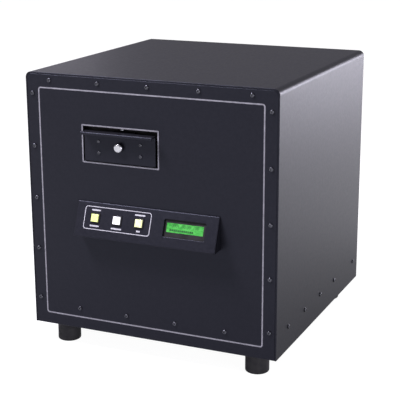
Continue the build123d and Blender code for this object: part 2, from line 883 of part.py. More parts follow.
tray_width = drive_width + 2 * (drive_clearance + tray_side_wall)
tray_height = tray_floor + drive_height + tray_rim_height
pocket_width = drive_width + 2 * drive_clearance
pocket_length = drive_length + 2 * drive_clearance
pocket_front_y = plate_back_y + tray_front_wall
tray_body_length = tray_front_wall + pocket_length + tray_rear_wall
tray_length = tray_body_length + tray_tail_length
tray_bottom_z = tray_z - tray_height / 2
runner_width = tray_width + 2 * runner_depth
with BuildPart() as drawer_tray:
    with BuildSketch(front_plane(plate_back_y)):
        with Locations((drawer_x, tray_z)):
            Rectangle(tray_width, tray_height)
    extrude(amount=-tray_body_length)
    with BuildSketch(front_plane(plate_back_y)):
        with Locations((drawer_x, tray_z)):
            Rectangle(tray_width, tray_tail_thickness)
            Rectangle(runner_width, runner_height)
    extrude(amount=-tray_length)
    with BuildSketch(Plane.XY.offset(tray_bottom_z + tray_floor)):
        with Locations((drawer_x, pocket_front_y + pocket_length / 2)):
            RectangleRounded(pocket_width, pocket_length, pocket_corner_radius)
    extrude(amount=tray_height, mode=Mode.SUBTRACT)
    with Locations(*drawer_screw_seats):
        Cylinder(
            drawer_screw_radius + screw_play,
            2 * (drawer_front_sheet + drawer_screw_grip + cut_overrun),
            mode=Mode.SUBTRACT,
        )
    with Locations(knob_seat):
        Cylinder(knob_stud_radius + screw_play, 2 * knob_stud_length + cut_overrun, mode=Mode.SUBTRACT)
drawer_tray.part.label = "drawer_tray"
export_step(drawer_tray.part, "parts/drawer_tray.step")

with BuildPart() as drawer_knob:
    with Locations(knob_seat):
        Cylinder(knob_stud_radius, knob_stud_length, align=hanging)
        Cylinder(knob_neck_radius, knob_neck_length, align=standing)
    with BuildSketch(front_plane(plate_front_y - knob_neck_length)):
        with Locations((drawer_x, knob_z)):
            Circle(knob_radius)
    extrude(amount=knob_head_height)
    fillet(drawer_knob.edges().sort_by(Axis.Y)[0], knob_head_height * knob_crown_share)
drawer_knob.part.label = "drawer_knob"
export_step(drawer_knob.part, "parts/drawer_knob.step")

drawer_screw = headed_screw(
    drawer_screw_radius,
    drawer_front_sheet + drawer_screw_grip,
    drawer_screw_head_radius,
    drawer_screw_head_height,
    screw_socket_radius,
    drawer_screw_socket_depth,
)
with BuildPart() as drawer_screws:
    with Locations(*drawer_screw_seats):
        add(drawer_screw)
drawer_screws.part.label = "drawer_screws"
export_step(drawer_screws.part, "parts/drawer_screws.step")

# Guides: two grooved strips that carry the tray's runners through the coil
guide_inner_x = tray_width / 2 + guide_gap
guide_groove_x = tray_width / 2 + runner_depth + fit_gap
bore_half_width = guide_groove_x + guide_web
bore_half_height = tray_height / 2 + bore_headroom
guide_front_y = front_y + guide_start
guide_rear_y = guide_front_y + guide_length
groove_height = runner_height + 2 * fit_gap
guide_middle_x = (guide_inner_x + bore_half_width) / 2
groove_middle_x = (guide_inner_x + guide_groove_x) / 2
for side_name, side in (("left", -1), ("right", 1)):
    with BuildPart() as drawer_guide:
        with BuildSketch(front_plane(guide_front_y)):
            with Locations((drawer_x + side * guide_middle_x, tray_z)):
                Rectangle(bore_half_width - guide_inner_x, guide_height)
            with Locations((drawer_x + side * groove_middle_x, tray_z)):
                Rectangle(guide_groove_x - guide_inner_x, groove_height, mode=Mode.SUBTRACT)
        extrude(amount=-guide_length)
    drawer_guide.part.label = f"drawer_guide_{side_name}"
    export_step(drawer_guide.part, f"parts/drawer_guide_{side_name}.step")

# Coil: former with end flanges, winding, and two clamp plates drawn together by tie rods
former_half_width = bore_half_width + former_wall
former_half_height = bore_half_height + former_wall
flange_half_width = former_half_width + former_flange_reach
flange_half_height = former_half_height + former_flange_reach
winding_half_width = former_half_width + winding_gap + winding_thickness
winding_half_height = former_half_height + winding_gap + winding_thickness
clamp_half_width = winding_half_width + clamp_margin
clamp_half_height = winding_half_height + clamp_margin
clamp_front_y = front_y + coil_start - clamp_thickness
former_front_y = clamp_front_y + clamp_thickness
winding_front_y = former_front_y + former_flange_thickness
winding_rear_y = winding_front_y + winding_length
former_rear_y = winding_rear_y + former_flange_thickness
clamp_rear_y = former_rear_y + clamp_thickness
with BuildPart() as coil_former:
    with BuildSketch(front_plane(former_front_y)):
        with Locations((drawer_x, tray_z)):
            Rectangle(2 * former_half_width, 2 * former_half_height)
    extrude(amount=former_front_y - former_rear_y)
    for flange_y in (former_front_y, winding_rear_y):
        with BuildSketch(front_plane(flange_y)):
            with Locations((drawer_x, tray_z)):
                RectangleRounded(2 * flange_half_width, 2 * flange_half_height, coil_corner_radius)
        extrude(amount=-former_flange_thickness)
    with BuildSketch(front_plane(former_front_y)):
        with Locations((drawer_x, tray_z)):
            Rectangle(2 * bore_half_width, 2 * bore_half_height)
    extrude(amount=former_front_y - former_rear_y, mode=Mode.SUBTRACT)
coil_former.part.label = "coil_former"
export_step(coil_former.part, "parts/coil_former.step")

with BuildPart() as coil_winding:
    with BuildSketch(front_plane(winding_front_y)):
        with Locations((drawer_x, tray_z)):
            RectangleRounded(2 * winding_half_width, 2 * winding_half_height, coil_corner_radius)
            Rectangle(
                2 * (former_half_width + winding_gap),
                2 * (former_half_height + winding_gap),
                mode=Mode.SUBTRACT,
            )
    extrude(amount=-winding_length)
coil_winding.part.label = "coil_winding"
export_step(coil_winding.part, "parts/coil_winding.step")

tie_rod_spots = [
    (drawer_x + sx * (clamp_half_width - tie_rod_inset), tray_z + sz * (clamp_half_height - tie_rod_inset))
    for sx in (-1, 1)
    for sz in (-1, 1)
]
for clamp_name, clamp_y in (("front", clamp_front_y), ("rear", former_rear_y)):
    with BuildPart() as coil_clamp:
        with BuildSketch(front_plane(clamp_y)):
            with Locations((drawer_x, tray_z)):
                Rectangle(2 * clamp_half_width, 2 * clamp_half_height)
                Rectangle(2 * bore_half_width, 2 * bore_half_height, mode=Mode.SUBTRACT)
            with Locations(*tie_rod_spots):
                Circle(tie_rod_radius + hole_clearance, mode=Mode.SUBTRACT)
        extrude(amount=-clamp_thickness)
    coil_clamp.part.label = f"coil_clamp_{clamp_name}"
    export_step(coil_clamp.part, f"parts/coil_clamp_{clamp_name}.step")

tie_rod_end = tie_nut_height + tie_rod_tip
with BuildPart() as coil_tie_rods:
    with BuildSketch(front_plane(clamp_front_y - tie_rod_end)):
        with Locations(*tie_rod_spots):
            Circle(tie_rod_radius)
    extrude(amount=clamp_front_y - clamp_rear_y - 2 * tie_rod_end)
    for nut_y in (clamp_front_y - tie_nut_height, clamp_rear_y):
        with BuildSketch(front_plane(nut_y)):
            with Locations(*tie_rod_spots):
                RegularPolygon(tie_nut_radius, hex_sides)
        extrude(amount=-tie_nut_height)
coil_tie_rods.part.label = "coil_tie_rods"
export_step(coil_tie_rods.part, "parts/coil_tie_rods.step")

# Shelf: a table of folded sheet that stands on the pan and carries the coil and the guides
shelf_top_z = tray_z - clamp_half_height
shelf_under_z = shelf_top_z - shelf_sheet
shelf_half_width = clamp_half_width + shelf_side_margin
shelf_front_y = clamp_front_y - shelf_front_margin
shelf_rear_y = guide_rear_y + guide_bracket_foot + shelf_rear_margin
shelf_leg_ys = (
    shelf_front_y + shelf_leg_front_offset + shelf_leg_width / 2,
    shelf_rear_y - shelf_leg_width / 2,
)
shelf_leg_x = shelf_half_width - shelf_sheet / 2
shelf_foot_x = shelf_half_width - shelf_foot_reach / 2
with BuildPart() as coil_shelf:
    with BuildSketch(Plane.XY.offset(shelf_under_z)):
        with Locations((drawer_x, (shelf_front_y + shelf_rear_y) / 2)):
            Rectangle(2 * shelf_half_width, shelf_rear_y - shelf_front_y)
    extrude(amount=shelf_sheet)
    for side in (-1, 1):
        with BuildSketch(Plane.XY.offset(pan_floor_z)):
            with Locations(*[(drawer_x + side * shelf_leg_x, y) for y in shelf_leg_ys]):
                Rectangle(shelf_sheet, shelf_leg_width)
        extrude(amount=shelf_under_z - pan_floor_z)
        with BuildSketch(Plane.XY.offset(pan_floor_z)):
            with Locations(*[(drawer_x + side * shelf_foot_x, y) for y in shelf_leg_ys]):
                Rectangle(shelf_foot_reach, shelf_leg_width)
        extrude(amount=shelf_sheet)
coil_shelf.part.label = "coil_shelf"
export_step(coil_shelf.part, "parts/coil_shelf.step")

bracket_half_width = bore_half_width + guide_bracket_side_margin
bracket_top_z = tray_z + guide_height / 2 + guide_bracket_side_margin
with BuildPart() as guide_end_bracket:
    with BuildSketch(Plane.YZ.offset(drawer_x)):
        with BuildLine():
            Polyline(
                (guide_rear_y, shelf_top_z),
                (guide_rear_y + guide_bracket_foot, shelf_top_z),
                (guide_rear_y + guide_bracket_foot, shelf_top_z + guide_bracket_sheet),
                (guide_rear_y + guide_bracket_sheet, shelf_top_z + guide_bracket_sheet),
                (guide_rear_y + guide_bracket_sheet, bracket_top_z),
                (guide_rear_y, bracket_top_z),
                close=True,
            )
        make_face()
    extrude(amount=bracket_half_width, both=True)
guide_end_bracket.part.label = "guide_end_bracket"
export_step(guide_end_bracket.part, "parts/guide_end_bracket.step")

# Drawer lock: a solenoid behind the front panel whose plunger drops through the drawer's tab
solenoid_bottom_z = opening_z + opening_height / 2 + solenoid_lift
solenoid_top_z = solenoid_bottom_z + solenoid_length
ear_width = solenoid_width + 2 * solenoid_ear_width
with BuildPart() as lock_solenoid:
    with BuildSketch(Plane.XY.offset(solenoid_bottom_z)):
        with Locations((drawer_x, plunger_y)):
            Rectangle(solenoid_width, solenoid_depth)
    extrude(amount=solenoid_length)
    fillet(lock_solenoid.edges().filter_by(Axis.Z).group_by(Axis.Y)[-1], solenoid_corner_radius)
    with BuildSketch(front_plane(panel_back_y)):
        with Locations((drawer_x, (solenoid_bottom_z + solenoid_top_z) / 2)):
            Rectangle(ear_width, solenoid_length * ear_height_share)
    extrude(amount=-solenoid_ear_thickness)
    with BuildSketch(Plane.XY.offset(solenoid_bottom_z)):
        with Locations((drawer_x, plunger_y)):
            Circle(plunger_radius + plunger_running_gap)
    extrude(amount=solenoid_length, mode=Mode.SUBTRACT)
lock_solenoid.part.label = "lock_solenoid"
export_step(lock_solenoid.part, "parts/lock_solenoid.step")

plunger_tip_z = drawer_top_z + plunger_tip_gap
plunger_collar_z = solenoid_top_z + plunger_travel + fit_gap
with BuildPart() as lock_plunger:
    with BuildSketch(Plane.XY.offset(plunger_tip_z)):
        with Locations((drawer_x, plunger_y)):
            Circle(plunger_radius)
    extrude(amount=plunger_collar_z - plunger_tip_z)
    chamfer(lock_plunger.edges().group_by(Axis.Z)[0], plunger_tip_chamfer)
    with BuildSketch(Plane.XY.offset(plunger_collar_z)):
        with Locations((drawer_x, plunger_y)):
            Circle(plunger_head_radius)
    extrude(amount=plunger_head_height)
lock_plunger.part.label = "lock_plunger"
export_step(lock_plunger.part, "parts/lock_plunger.step")

# Discharge capacitors on their seat board, with bus bars and terminal screws
seat_side = capacitor_pitch + 2 * (capacitor_radius + seat_margin)
capacitor_x = inner_half_width - pan_sheet - capacitor_side_gap - seat_side / 2
capacitor_y = front_y + capacitor_depth_place
capacitor_spots = [
    (capacitor_x + sx * capacitor_pitch / 2, capacitor_y + sy * capacitor_pitch / 2)
    for sy in (-1, 1)
    for sx in (-1, 1)
]
seat_floor_z = pan_floor_z + seat_thickness - seat_pocket_depth
capacitor_top_z = seat_floor_z + capacitor_height
dish_floor_z = capacitor_top_z - capacitor_top_dish
terminal_top_z = dish_floor_z + terminal_height
with BuildPart() as capacitor_seat:
    with BuildSketch(Plane.XY.offset(pan_floor_z)):
        with Locations((capacitor_x, capacitor_y)):
            Rectangle(seat_side, seat_side)
    extrude(amount=seat_thickness)
    with BuildSketch(Plane.XY.offset(seat_floor_z)):
        with Locations(*capacitor_spots):
            Circle(capacitor_radius + fit_gap)
    extrude(amount=seat_thickness, mode=Mode.SUBTRACT)
capacitor_seat.part.label = "capacitor_seat"
export_step(capacitor_seat.part, "parts/capacitor_seat.step")

for number, (x, y) in enumerate(capacitor_spots, 1):
    terminal_xs = (x - terminal_pitch / 2, x + terminal_pitch / 2)
    with BuildPart() as capacitor:
        with BuildSketch(Plane.XY.offset(seat_floor_z)):
            with Locations((x, y)):
                Circle(capacitor_radius)
        extrude(amount=capacitor_height)
        fillet(capacitor.edges().group_by(Axis.Z)[0], capacitor_rim_radius)
        fillet(capacitor.edges().group_by(Axis.Z)[-1], capacitor_rim_radius)
        with BuildSketch(Plane.XY.offset(dish_floor_z)):
            with Locations((x, y)):
                Circle(capacitor_radius - 2 * capacitor_rim_radius)
        extrude(amount=capacitor_rim_radius + capacitor_top_dish, mode=Mode.SUBTRACT)
        with BuildSketch(Plane.XY.offset(dish_floor_z)):
            with Locations(*[(terminal_x, y) for terminal_x in terminal_xs]):
                Circle(terminal_radius)
        extrude(amount=terminal_height)
        with BuildSketch(Plane.XY.offset(terminal_top_z)):
            with Locations(*[(terminal_x, y) for terminal_x in terminal_xs]):
                Circle(terminal_screw_radius + screw_play)
        extrude(amount=-terminal_screw_grip - cut_overrun, mode=Mode.SUBTRACT)
    capacitor.part.label = f"capacitor_{number}"
    export_step(capacitor.part, f"parts/capacitor_{number}.step")

bus_bar_xs = [
    capacitor_x + sx * capacitor_pitch / 2 + st * terminal_pitch / 2 for sx in (-1, 1) for st in (-1, 1)
]
terminal_spots = [(x, capacitor_y + sy * capacitor_pitch / 2) for x in bus_bar_xs for sy in (-1, 1)]
with BuildPart() as bus_bars:
    with BuildSketch(Plane.XY.offset(terminal_top_z)):
        with Locations(*[(x, capacitor_y) for x in bus_bar_xs]):
            Rectangle(bus_bar_width, capacitor_pitch + 2 * bus_bar_end)
        with Locations(*terminal_spots):
            Circle(terminal_screw_radius + hole_clearance, mode=Mode.SUBTRACT)
    extrude(amount=bus_bar_thickness)
bus_bars.part.label = "bus_bars"
export_step(bus_bars.part, "parts/bus_bars.step")

terminal_screw = headed_screw(
    terminal_screw_radius,
    bus_bar_thickness + terminal_screw_grip,
    terminal_screw_head_radius,
    terminal_screw_head_height,
    terminal_screw_socket_radius,
    screw_socket_depth,
)
with BuildPart() as terminal_screws:
    with Locations(*[(x, y, terminal_top_z + bus_bar_thickness) for x, y in terminal_spots]):
        add(terminal_screw)
terminal_screws.part.label = "terminal_screws"
export_step(terminal_screws.part, "parts/terminal_screws.step")

# Charging transformer: laminated core with two windows and a winding round its middle limb
transformer_x = inner_half_width - pan_sheet - transformer_side_gap - core_width / 2 - core_foot_width
transformer_y = front_y + transformer_depth_place
window_gap_width = core_width / 2 - 2 * core_limb
core_window_height = core_height - 2 * core_limb
core_window_x = core_limb + window_gap_width / 2
core_middle_z = pan_floor_z + core_height / 2
with BuildPart() as transformer_core:
    with BuildSketch(front_plane(transformer_y + core_stack / 2)):
        with Locations((transformer_x, core_middle_z)):
            Rectangle(core_width, core_height)
            with Locations((-core_window_x, 0), (core_window_x, 0)):
                Rectangle(window_gap_width, core_window_height, mode=Mode.SUBTRACT)
    extrude(amount=core_stack)
    with BuildSketch(Plane.XY.offset(pan_floor_z)):
        with Locations((transformer_x, transformer_y)):
            Rectangle(core_width + 2 * core_foot_width, core_stack)
    extrude(amount=core_foot_sheet)
transformer_core.part.label = "transformer_core"
export_step(transformer_core.part, "parts/transformer_core.step")

bobbin_inner_width = 2 * (core_limb + bobbin_gap)
bobbin_outer_width = 2 * (core_limb + window_gap_width - bobbin_gap)
bobbin_height = core_window_height - 2 * bobbin_gap
bobbin_length = core_stack + 2 * bobbin_overhang
with BuildPart() as transformer_winding:
    with BuildSketch(Plane.XY.offset(core_middle_z - bobbin_height / 2)):
        with Locations((transformer_x, transformer_y)):
            RectangleRounded(bobbin_outer_width, bobbin_length, bobbin_corner_radius)
            Rectangle(bobbin_inner_width, core_stack + 2 * bobbin_gap, mode=Mode.SUBTRACT)
    extrude(amount=bobbin_height)
transformer_winding.part.label = "transformer_winding"
export_step(transformer_winding.part, "parts/transformer_winding.step")

# Thyristor module on its finned heat sink
sink_x = drawer_x
sink_y = front_y + board_depth_place + (board_length + sink_length) / 2 + sink_board_gap
sink_base_z = pan_floor_z + sink_fin_height
sink_top_z = sink_base_z + sink_base
fin_pitch = (sink_width - sink_fin_thickness) / (sink_fin_count - 1)
with BuildPart() as heat_sink:
    with BuildSketch(Plane.XY.offset(pan_floor_z)):
        with Locations((sink_x, sink_y)):
            with GridLocations(fin_pitch, 0, sink_fin_count, 1):
                Rectangle(sink_fin_thickness, sink_length)
    extrude(amount=sink_fin_height)
    with BuildSketch(Plane.XY.offset(sink_base_z)):
        with Locations((sink_x, sink_y)):
            Rectangle(sink_width, sink_length)
    extrude(amount=sink_base)
heat_sink.part.label = "heat_sink"
export_step(heat_sink.part, "parts/heat_sink.step")

with BuildPart() as thyristor:
    with BuildSketch(Plane.XY.offset(sink_top_z)):
        with Locations((sink_x, sink_y)):
            Rectangle(thyristor_width, thyristor_length)
    extrude(amount=thyristor_plate)
    with BuildSketch(Plane.XY.offset(sink_top_z)):
        with Locations((sink_x, sink_y)):
            Rectangle(thyristor_width * thyristor_body_share, thyristor_length)
    extrude(amount=thyristor_height)
    with BuildSketch(Plane.XY.offset(sink_top_z + thyristor_height)):
        with Locations((sink_x, sink_y)):
            with GridLocations(thyristor_post_pitch, 0, thyristor_post_count, 1):
                Rectangle(thyristor_post_side, thyristor_post_side)
    extrude(amount=thyristor_post_height)
thyristor.part.label = "thyristor"
export_step(thyristor.part, "parts/thyristor.step")

# Control board on four pillars, with two relays and its plug row
board_x = drawer_x
board_y = front_y + board_depth_place
board_z = pan_floor_z + standoff_height
board_top_z = board_z + board_thickness
standoff_pitch_x = board_width - 2 * standoff_inset
standoff_pitch_y = board_length - 2 * standoff_inset
with BuildPart() as board_standoffs:
    with BuildSketch(Plane.XY.offset(pan_floor_z)):
        with Locations((board_x, board_y)):
            with GridLocations(standoff_pitch_x, standoff_pitch_y, 2, 2):
                RegularPolygon(standoff_radius, hex_sides)
    extrude(amount=standoff_height)
board_standoffs.part.label = "board_standoffs"
export_step(board_standoffs.part, "parts/board_standoffs.step")

with BuildPart() as control_board:
    with BuildSketch(Plane.XY.offset(board_z)):
        with Locations((board_x, board_y)):
            RectangleRounded(board_width, board_length, board_corner_radius)
    extrude(amount=board_thickness)
    with BuildSketch(Plane.XY.offset(board_top_z)):
        with Locations((board_x, board_y)):
            with GridLocations(relay_pitch, 0, 2, 1):
                Rectangle(relay_side, relay_side)
    extrude(amount=relay_height)
    with BuildSketch(Plane.XY.offset(board_top_z)):
        with Locations((board_x, board_y + standoff_pitch_y / 2 - plug_length)):
            Rectangle(plug_width, plug_length)
    extrude(amount=plug_height)
control_board.part.label = "control_board"
export_step(control_board.part, "parts/control_board.step")

# Cooling fan: square frame with a bore, the rotor on its shaft, the wire guard outside and four screws
fan_front_y = rear_panel_inner_y - fan_depth
rotor_front_y = fan_front_y + fan_strut_depth + fan_hub_gap
rotor_middle_y = rotor_front_y + rotor_depth / 2
blade_tip_radius = fan_bore_radius - fan_tip_gap
blade_root_radius = fan_hub_radius - fan_blade_root_bite
strut_reach = (fan_bore_radius + fan_side / 2) / 2
with BuildPart() as fan_frame:
    with BuildSketch(front_plane(rear_panel_inner_y)):
        with Locations((fan_x, fan_z)):
            RectangleRounded(fan_side, fan_side, fan_corner_radius)
            Circle(fan_bore_radius, mode=Mode.SUBTRACT)
            with GridLocations(fan_screw_pitch, fan_screw_pitch, 2, 2):
                Circle(screw_hole_radius, mode=Mode.SUBTRACT)
    extrude(amount=fan_depth)
    with BuildSketch(front_plane(fan_front_y)):
        with Locations((fan_x, fan_z)):
            Circle(fan_hub_radius)
            Rectangle(2 * strut_reach, fan_strut_width)
            Rectangle(fan_strut_width, 2 * strut_reach)
    extrude(amount=-fan_strut_depth)
    with BuildSketch(front_plane(fan_front_y)):
        with Locations((fan_x, fan_z)):
            Circle(shaft_radius)
    extrude(amount=-fan_strut_depth - fan_hub_gap - rotor_depth)
fan_frame.part.label = "fan_frame"
export_step(fan_frame.part, "parts/fan_frame.step")

with BuildPart() as fan_rotor:
    with BuildSketch(front_plane(rotor_front_y)):
        with Locations((fan_x, fan_z)):
            Circle(fan_hub_radius)
    extrude(amount=-rotor_depth)
    with Locations(Location((fan_x, rotor_middle_y, fan_z), front_turn_angle)):
        with PolarLocations((blade_tip_radius + blade_root_radius) / 2, fan_blade_count):
            Box(
                blade_tip_radius - blade_root_radius,
                fan_blade_width,
                fan_blade_thickness,
                rotation=(fan_blade_pitch_angle, 0, 0),
            )
    with BuildSketch(front_plane(rotor_front_y)):
        with Locations((fan_x, fan_z)):
            Circle(shaft_radius + shaft_running_gap)
    extrude(amount=-rotor_depth, mode=Mode.SUBTRACT)
fan_rotor.part.label = "fan_rotor"
export_step(fan_rotor.part, "parts/fan_rotor.step")

guard_ring_step = (fan_bore_radius - guard_ring_first_radius) / (guard_ring_count - 1)
guard_eye_distance = hypot(fan_screw_pitch, fan_screw_pitch) / 2
guard_spoke_inner = guard_ring_first_radius - guard_spoke_width / 2
guard_spoke_length = guard_eye_distance - guard_spoke_inner
guard_spoke_middle = (guard_eye_distance + guard_spoke_inner) / 2
guard_seat = Location((fan_x, rear_y + guard_wire_radius, fan_z), rear_turn_angle)
guard_ring_y = rear_y + guard_eye_thickness + guard_ring_height - guard_wire_radius
guard_ring_seat = Location((fan_x, guard_ring_y, fan_z), rear_turn_angle)
with BuildPart() as fan_guard:
    with Locations(guard_seat):
        with PolarLocations(guard_spoke_middle, guard_spoke_count, guard_start_angle):
            Box(guard_spoke_length, guard_spoke_width, guard_eye_thickness)
        with PolarLocations(guard_eye_distance, guard_spoke_count, guard_start_angle):
            Cylinder(guard_eye_radius, guard_eye_thickness)
            Cylinder(screw_hole_radius, 2 * guard_eye_thickness, mode=Mode.SUBTRACT)
    with Locations(guard_ring_seat):
        for ring in range(guard_ring_count):
            Torus(guard_ring_first_radius + ring * guard_ring_step, guard_wire_radius)
fan_guard.part.label = "fan_guard"
export_step(fan_guard.part, "parts/fan_guard.step")

fan_screw = headed_screw(
    screw_radius,
    guard_eye_thickness + panel_thickness + fan_depth,
    screw_head_radius,
    screw_head_height,
    screw_socket_radius,
    screw_socket_depth,
)
fan_screw_places = [
    Location((x, rear_y + guard_eye_thickness, z), rear_turn_angle)
    for x in (fan_x - fan_screw_pitch / 2, fan_x + fan_screw_pitch / 2)
    for z in (fan_z - fan_screw_pitch / 2, fan_z + fan_screw_pitch / 2)
]
with BuildPart() as fan_screws:
    with Locations(*fan_screw_places):
        add(fan_screw)
fan_screws.part.label = "fan_screws"
export_step(fan_screws.part, "parts/fan_screws.step")

# Mains inlet: a moulded block snapped into the rear panel, its three blades and its rocker switch
inlet_face_y = rear_y + inlet_flange_thickness
socket_z = inlet_z - socket_drop
socket_floor_y = inlet_face_y - socket_depth
blade_back_y = rear_y - inlet_body_depth - blade_tail
blade_front_y = socket_floor_y + blade_length
blade_spots = [
    (inlet_x - blade_pitch, socket_z - blade_offset),
    (inlet_x, socket_z + blade_offset),
    (inlet_x + blade_pitch, socket_z - blade_offset),
]
with BuildPart() as mains_blades:
    with BuildSketch(front_plane(blade_back_y)):
        with Locations(*blade_spots):
            Rectangle(blade_width, blade_height)
    extrude(amount=blade_back_y - blade_front_y)
mains_blades.part.label = "mains_blades"
export_step(mains_blades.part, "parts/mains_blades.step")

rocker_z = inlet_z + rocker_raise
rocker_pivot_y = inlet_face_y - rocker_pivot_depth
well_width = rocker_width + 2 * rocker_side_gap
rocker_pin_span = rocker_width + 2 * rocker_pin_length
with BuildPart() as mains_inlet:
    with BuildSketch(front_plane(inlet_face_y)):
        with Locations((inlet_x, inlet_z)):
            RectangleRounded(inlet_flange_width, inlet_flange_height, inlet_corner_radius)
    extrude(amount=inlet_flange_thickness)
    with BuildSketch(front_plane(rear_y)):
        with Locations((inlet_x, inlet_z)):
            Rectangle(inlet_body_width, inlet_body_height)
    extrude(amount=inlet_body_depth)
    with BuildSketch(front_plane(inlet_face_y)):
        with BuildLine():
            Polyline(
                (inlet_x - socket_width / 2, socket_z - socket_height / 2),
                (inlet_x + socket_width / 2, socket_z - socket_height / 2),
                (inlet_x + socket_width / 2, socket_z + socket_height / 2 - socket_corner_cut),
                (inlet_x + socket_width / 2 - socket_corner_cut, socket_z + socket_height / 2),
                (inlet_x - socket_width / 2 + socket_corner_cut, socket_z + socket_height / 2),
                (inlet_x - socket_width / 2, socket_z + socket_height / 2 - socket_corner_cut),
                close=True,
            )
        make_face()
    extrude(amount=socket_depth, mode=Mode.SUBTRACT)
    with BuildSketch(front_plane(inlet_face_y)):
        with Locations((inlet_x, rocker_z)):
            Rectangle(well_width, 2 * rocker_well_half_length)
    extrude(amount=rocker_well_depth, mode=Mode.SUBTRACT)
    with Locations(Location((inlet_x, rocker_pivot_y, rocker_z), right_turn_angle)):
        Cylinder(
            rocker_pin_radius + rocker_pin_running_gap,
            rocker_pin_span + 2 * fit_gap,
            mode=Mode.SUBTRACT,
        )
    add(mains_blades.part, mode=Mode.SUBTRACT)
mains_inlet.part.label = "mains_inlet"
export_step(mains_inlet.part, "parts/mains_inlet.step")

rocker_plane = Plane(
    origin=(inlet_x, rocker_pivot_y, rocker_z),
    x_dir=(0, sin(rocker_lean), cos(rocker_lean)),
    z_dir=(-1, 0, 0),
)
with BuildPart() as mains_rocker:
    with BuildSketch(rocker_plane):
        with BuildLine():
            Polyline(
                (-rocker_half_length, -rocker_underside),
                (-rocker_half_length, rocker_arm),
                (0, rocker_middle_height + rocker_pivot_depth),
                (rocker_half_length, rocker_arm),
                (rocker_half_length, -rocker_underside),
                close=True,
            )
        make_face()
    extrude(amount=rocker_width / 2, both=True)
    with Locations(Location((inlet_x, rocker_pivot_y, rocker_z), right_turn_angle)):
        Cylinder(rocker_pin_radius, rocker_pin_span)
mains_rocker.part.label = "mains_rocker"
export_step(mains_rocker.part, "parts/mains_rocker.step")
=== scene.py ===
"""Looks of a bench hard drive degausser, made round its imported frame.

The frame gives every part of the cabinet its place. This file adds the finishes, the silk-screened lines,
the turned knob, the lamp lenses, the display, the fan's blades and the stage.
"""

import math

import bpy
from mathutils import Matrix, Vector


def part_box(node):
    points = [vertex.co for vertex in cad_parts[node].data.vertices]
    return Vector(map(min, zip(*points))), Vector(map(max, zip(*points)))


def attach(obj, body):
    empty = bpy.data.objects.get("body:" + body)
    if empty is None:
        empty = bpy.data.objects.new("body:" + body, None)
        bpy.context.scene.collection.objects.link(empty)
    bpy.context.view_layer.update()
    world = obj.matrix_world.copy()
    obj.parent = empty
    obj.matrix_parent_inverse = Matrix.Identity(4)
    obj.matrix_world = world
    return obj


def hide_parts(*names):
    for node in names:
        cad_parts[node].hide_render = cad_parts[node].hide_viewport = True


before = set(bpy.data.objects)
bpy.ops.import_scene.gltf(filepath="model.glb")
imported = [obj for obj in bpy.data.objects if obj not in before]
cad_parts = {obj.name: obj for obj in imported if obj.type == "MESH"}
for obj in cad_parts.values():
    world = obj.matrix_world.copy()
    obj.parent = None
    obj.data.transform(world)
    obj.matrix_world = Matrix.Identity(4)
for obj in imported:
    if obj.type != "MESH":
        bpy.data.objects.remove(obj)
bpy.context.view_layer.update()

bl_info = {
    "name": "Hard drive degausser looks",
    "version": (1, 0, 0),
    "blender": (4, 5, 0),
    "location": "View3D > Sidebar > Degausser",
    "description": "Finishes, printed lines, lamps, display, knob, fan and stage for the degausser's frame",
    "category": "Object",
}


def middle(node):
    """Middle of the box of a node of the frame."""
    low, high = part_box(node)
    return (low + high) / 2


MM = 0.001
IMAGE_SIDE = 402
# A face counts as flat on top or below when its normal's share along Z passes this.
STRAIGHT = 0.9
SMOOTH_ANGLE = math.radians(35)
# A wave texture at scale 1 runs through this angle, in radians, in one metre.
WAVE_ANGLE = 20.0
METAL = {"Metallic": 1.0}
FRONT_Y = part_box("front_panel")[0].y
CABINET_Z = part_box("wrapper_cover")[0].z
DRAWER_X = middle("drawer_front").x
CONSOLE_LOW, CONSOLE_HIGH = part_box("console_housing")
CONSOLE_TOP_REACH = 2.5 * MM
CONSOLE_BOTTOM_REACH = 24.5 * MM
CONSOLE_HEIGHT = CONSOLE_HIGH.z - CONSOLE_LOW.z
CONSOLE_SLOPE = math.atan2(CONSOLE_BOTTOM_REACH - CONSOLE_TOP_REACH, CONSOLE_HEIGHT)
CONSOLE_FACE = CONSOLE_HEIGHT / math.cos(CONSOLE_SLOPE)
CONSOLE_MIDDLE = Vector(
    (
        (CONSOLE_LOW.x + CONSOLE_HIGH.x) / 2,
        FRONT_Y - (CONSOLE_TOP_REACH + CONSOLE_BOTTOM_REACH) / 2,
        (CONSOLE_LOW.z + CONSOLE_HIGH.z) / 2,
    )
)
CONSOLE_TURN = (math.pi / 2 - CONSOLE_SLOPE, 0, 0)
FRONT_TURN = (math.pi / 2, 0, 0)
REAR_TURN = (-math.pi / 2, 0, 0)
# Bars in place of the lamps' labels: which lamp, height of the bar over the row of lamps, and length.
LABEL_BARS = (
    (-1, 13.5 * MM, 16.5 * MM),
    (-1, -13.5 * MM, 17.0 * MM),
    (0, -14.0 * MM, 19.0 * MM),
    (1, 13.5 * MM, 19.0 * MM),
    (1, -13.5 * MM, 7.0 * MM),
)
# Studio lamps: name, place, the point that it faces, width and height, in metres.
STUDIO_LAMPS = (
    ("key", (-1.1, -1.0, 2.3), (0, 0, 0.2), 0.7, 0.7),
    ("side", (1.6, 2.4, 0.5), (0.23, 0.05, 0.35), 1.0, 0.9),
    ("right", (2.0, -1.15, 0.35), (0.23, -0.2, 0.3), 1.0, 0.6),
    ("front", (-1.3, -2.8, 0.75), (0, -0.2, 0.35), 1.2, 0.8),
    ("back", (-2.0, 2.2, 0.9), (0, 0, 0.45), 1.0, 0.8),
)


def linear(hex_colour):
    """Linear red, green and blue of an sRGB hex colour."""
    shares = [int(hex_colour[i : i + 2], 16) / 255 for i in (0, 2, 4)]
    return [s / 12.92 if s <= 0.04045 else ((s + 0.055) / 1.055) ** 2.4 for s in shares]


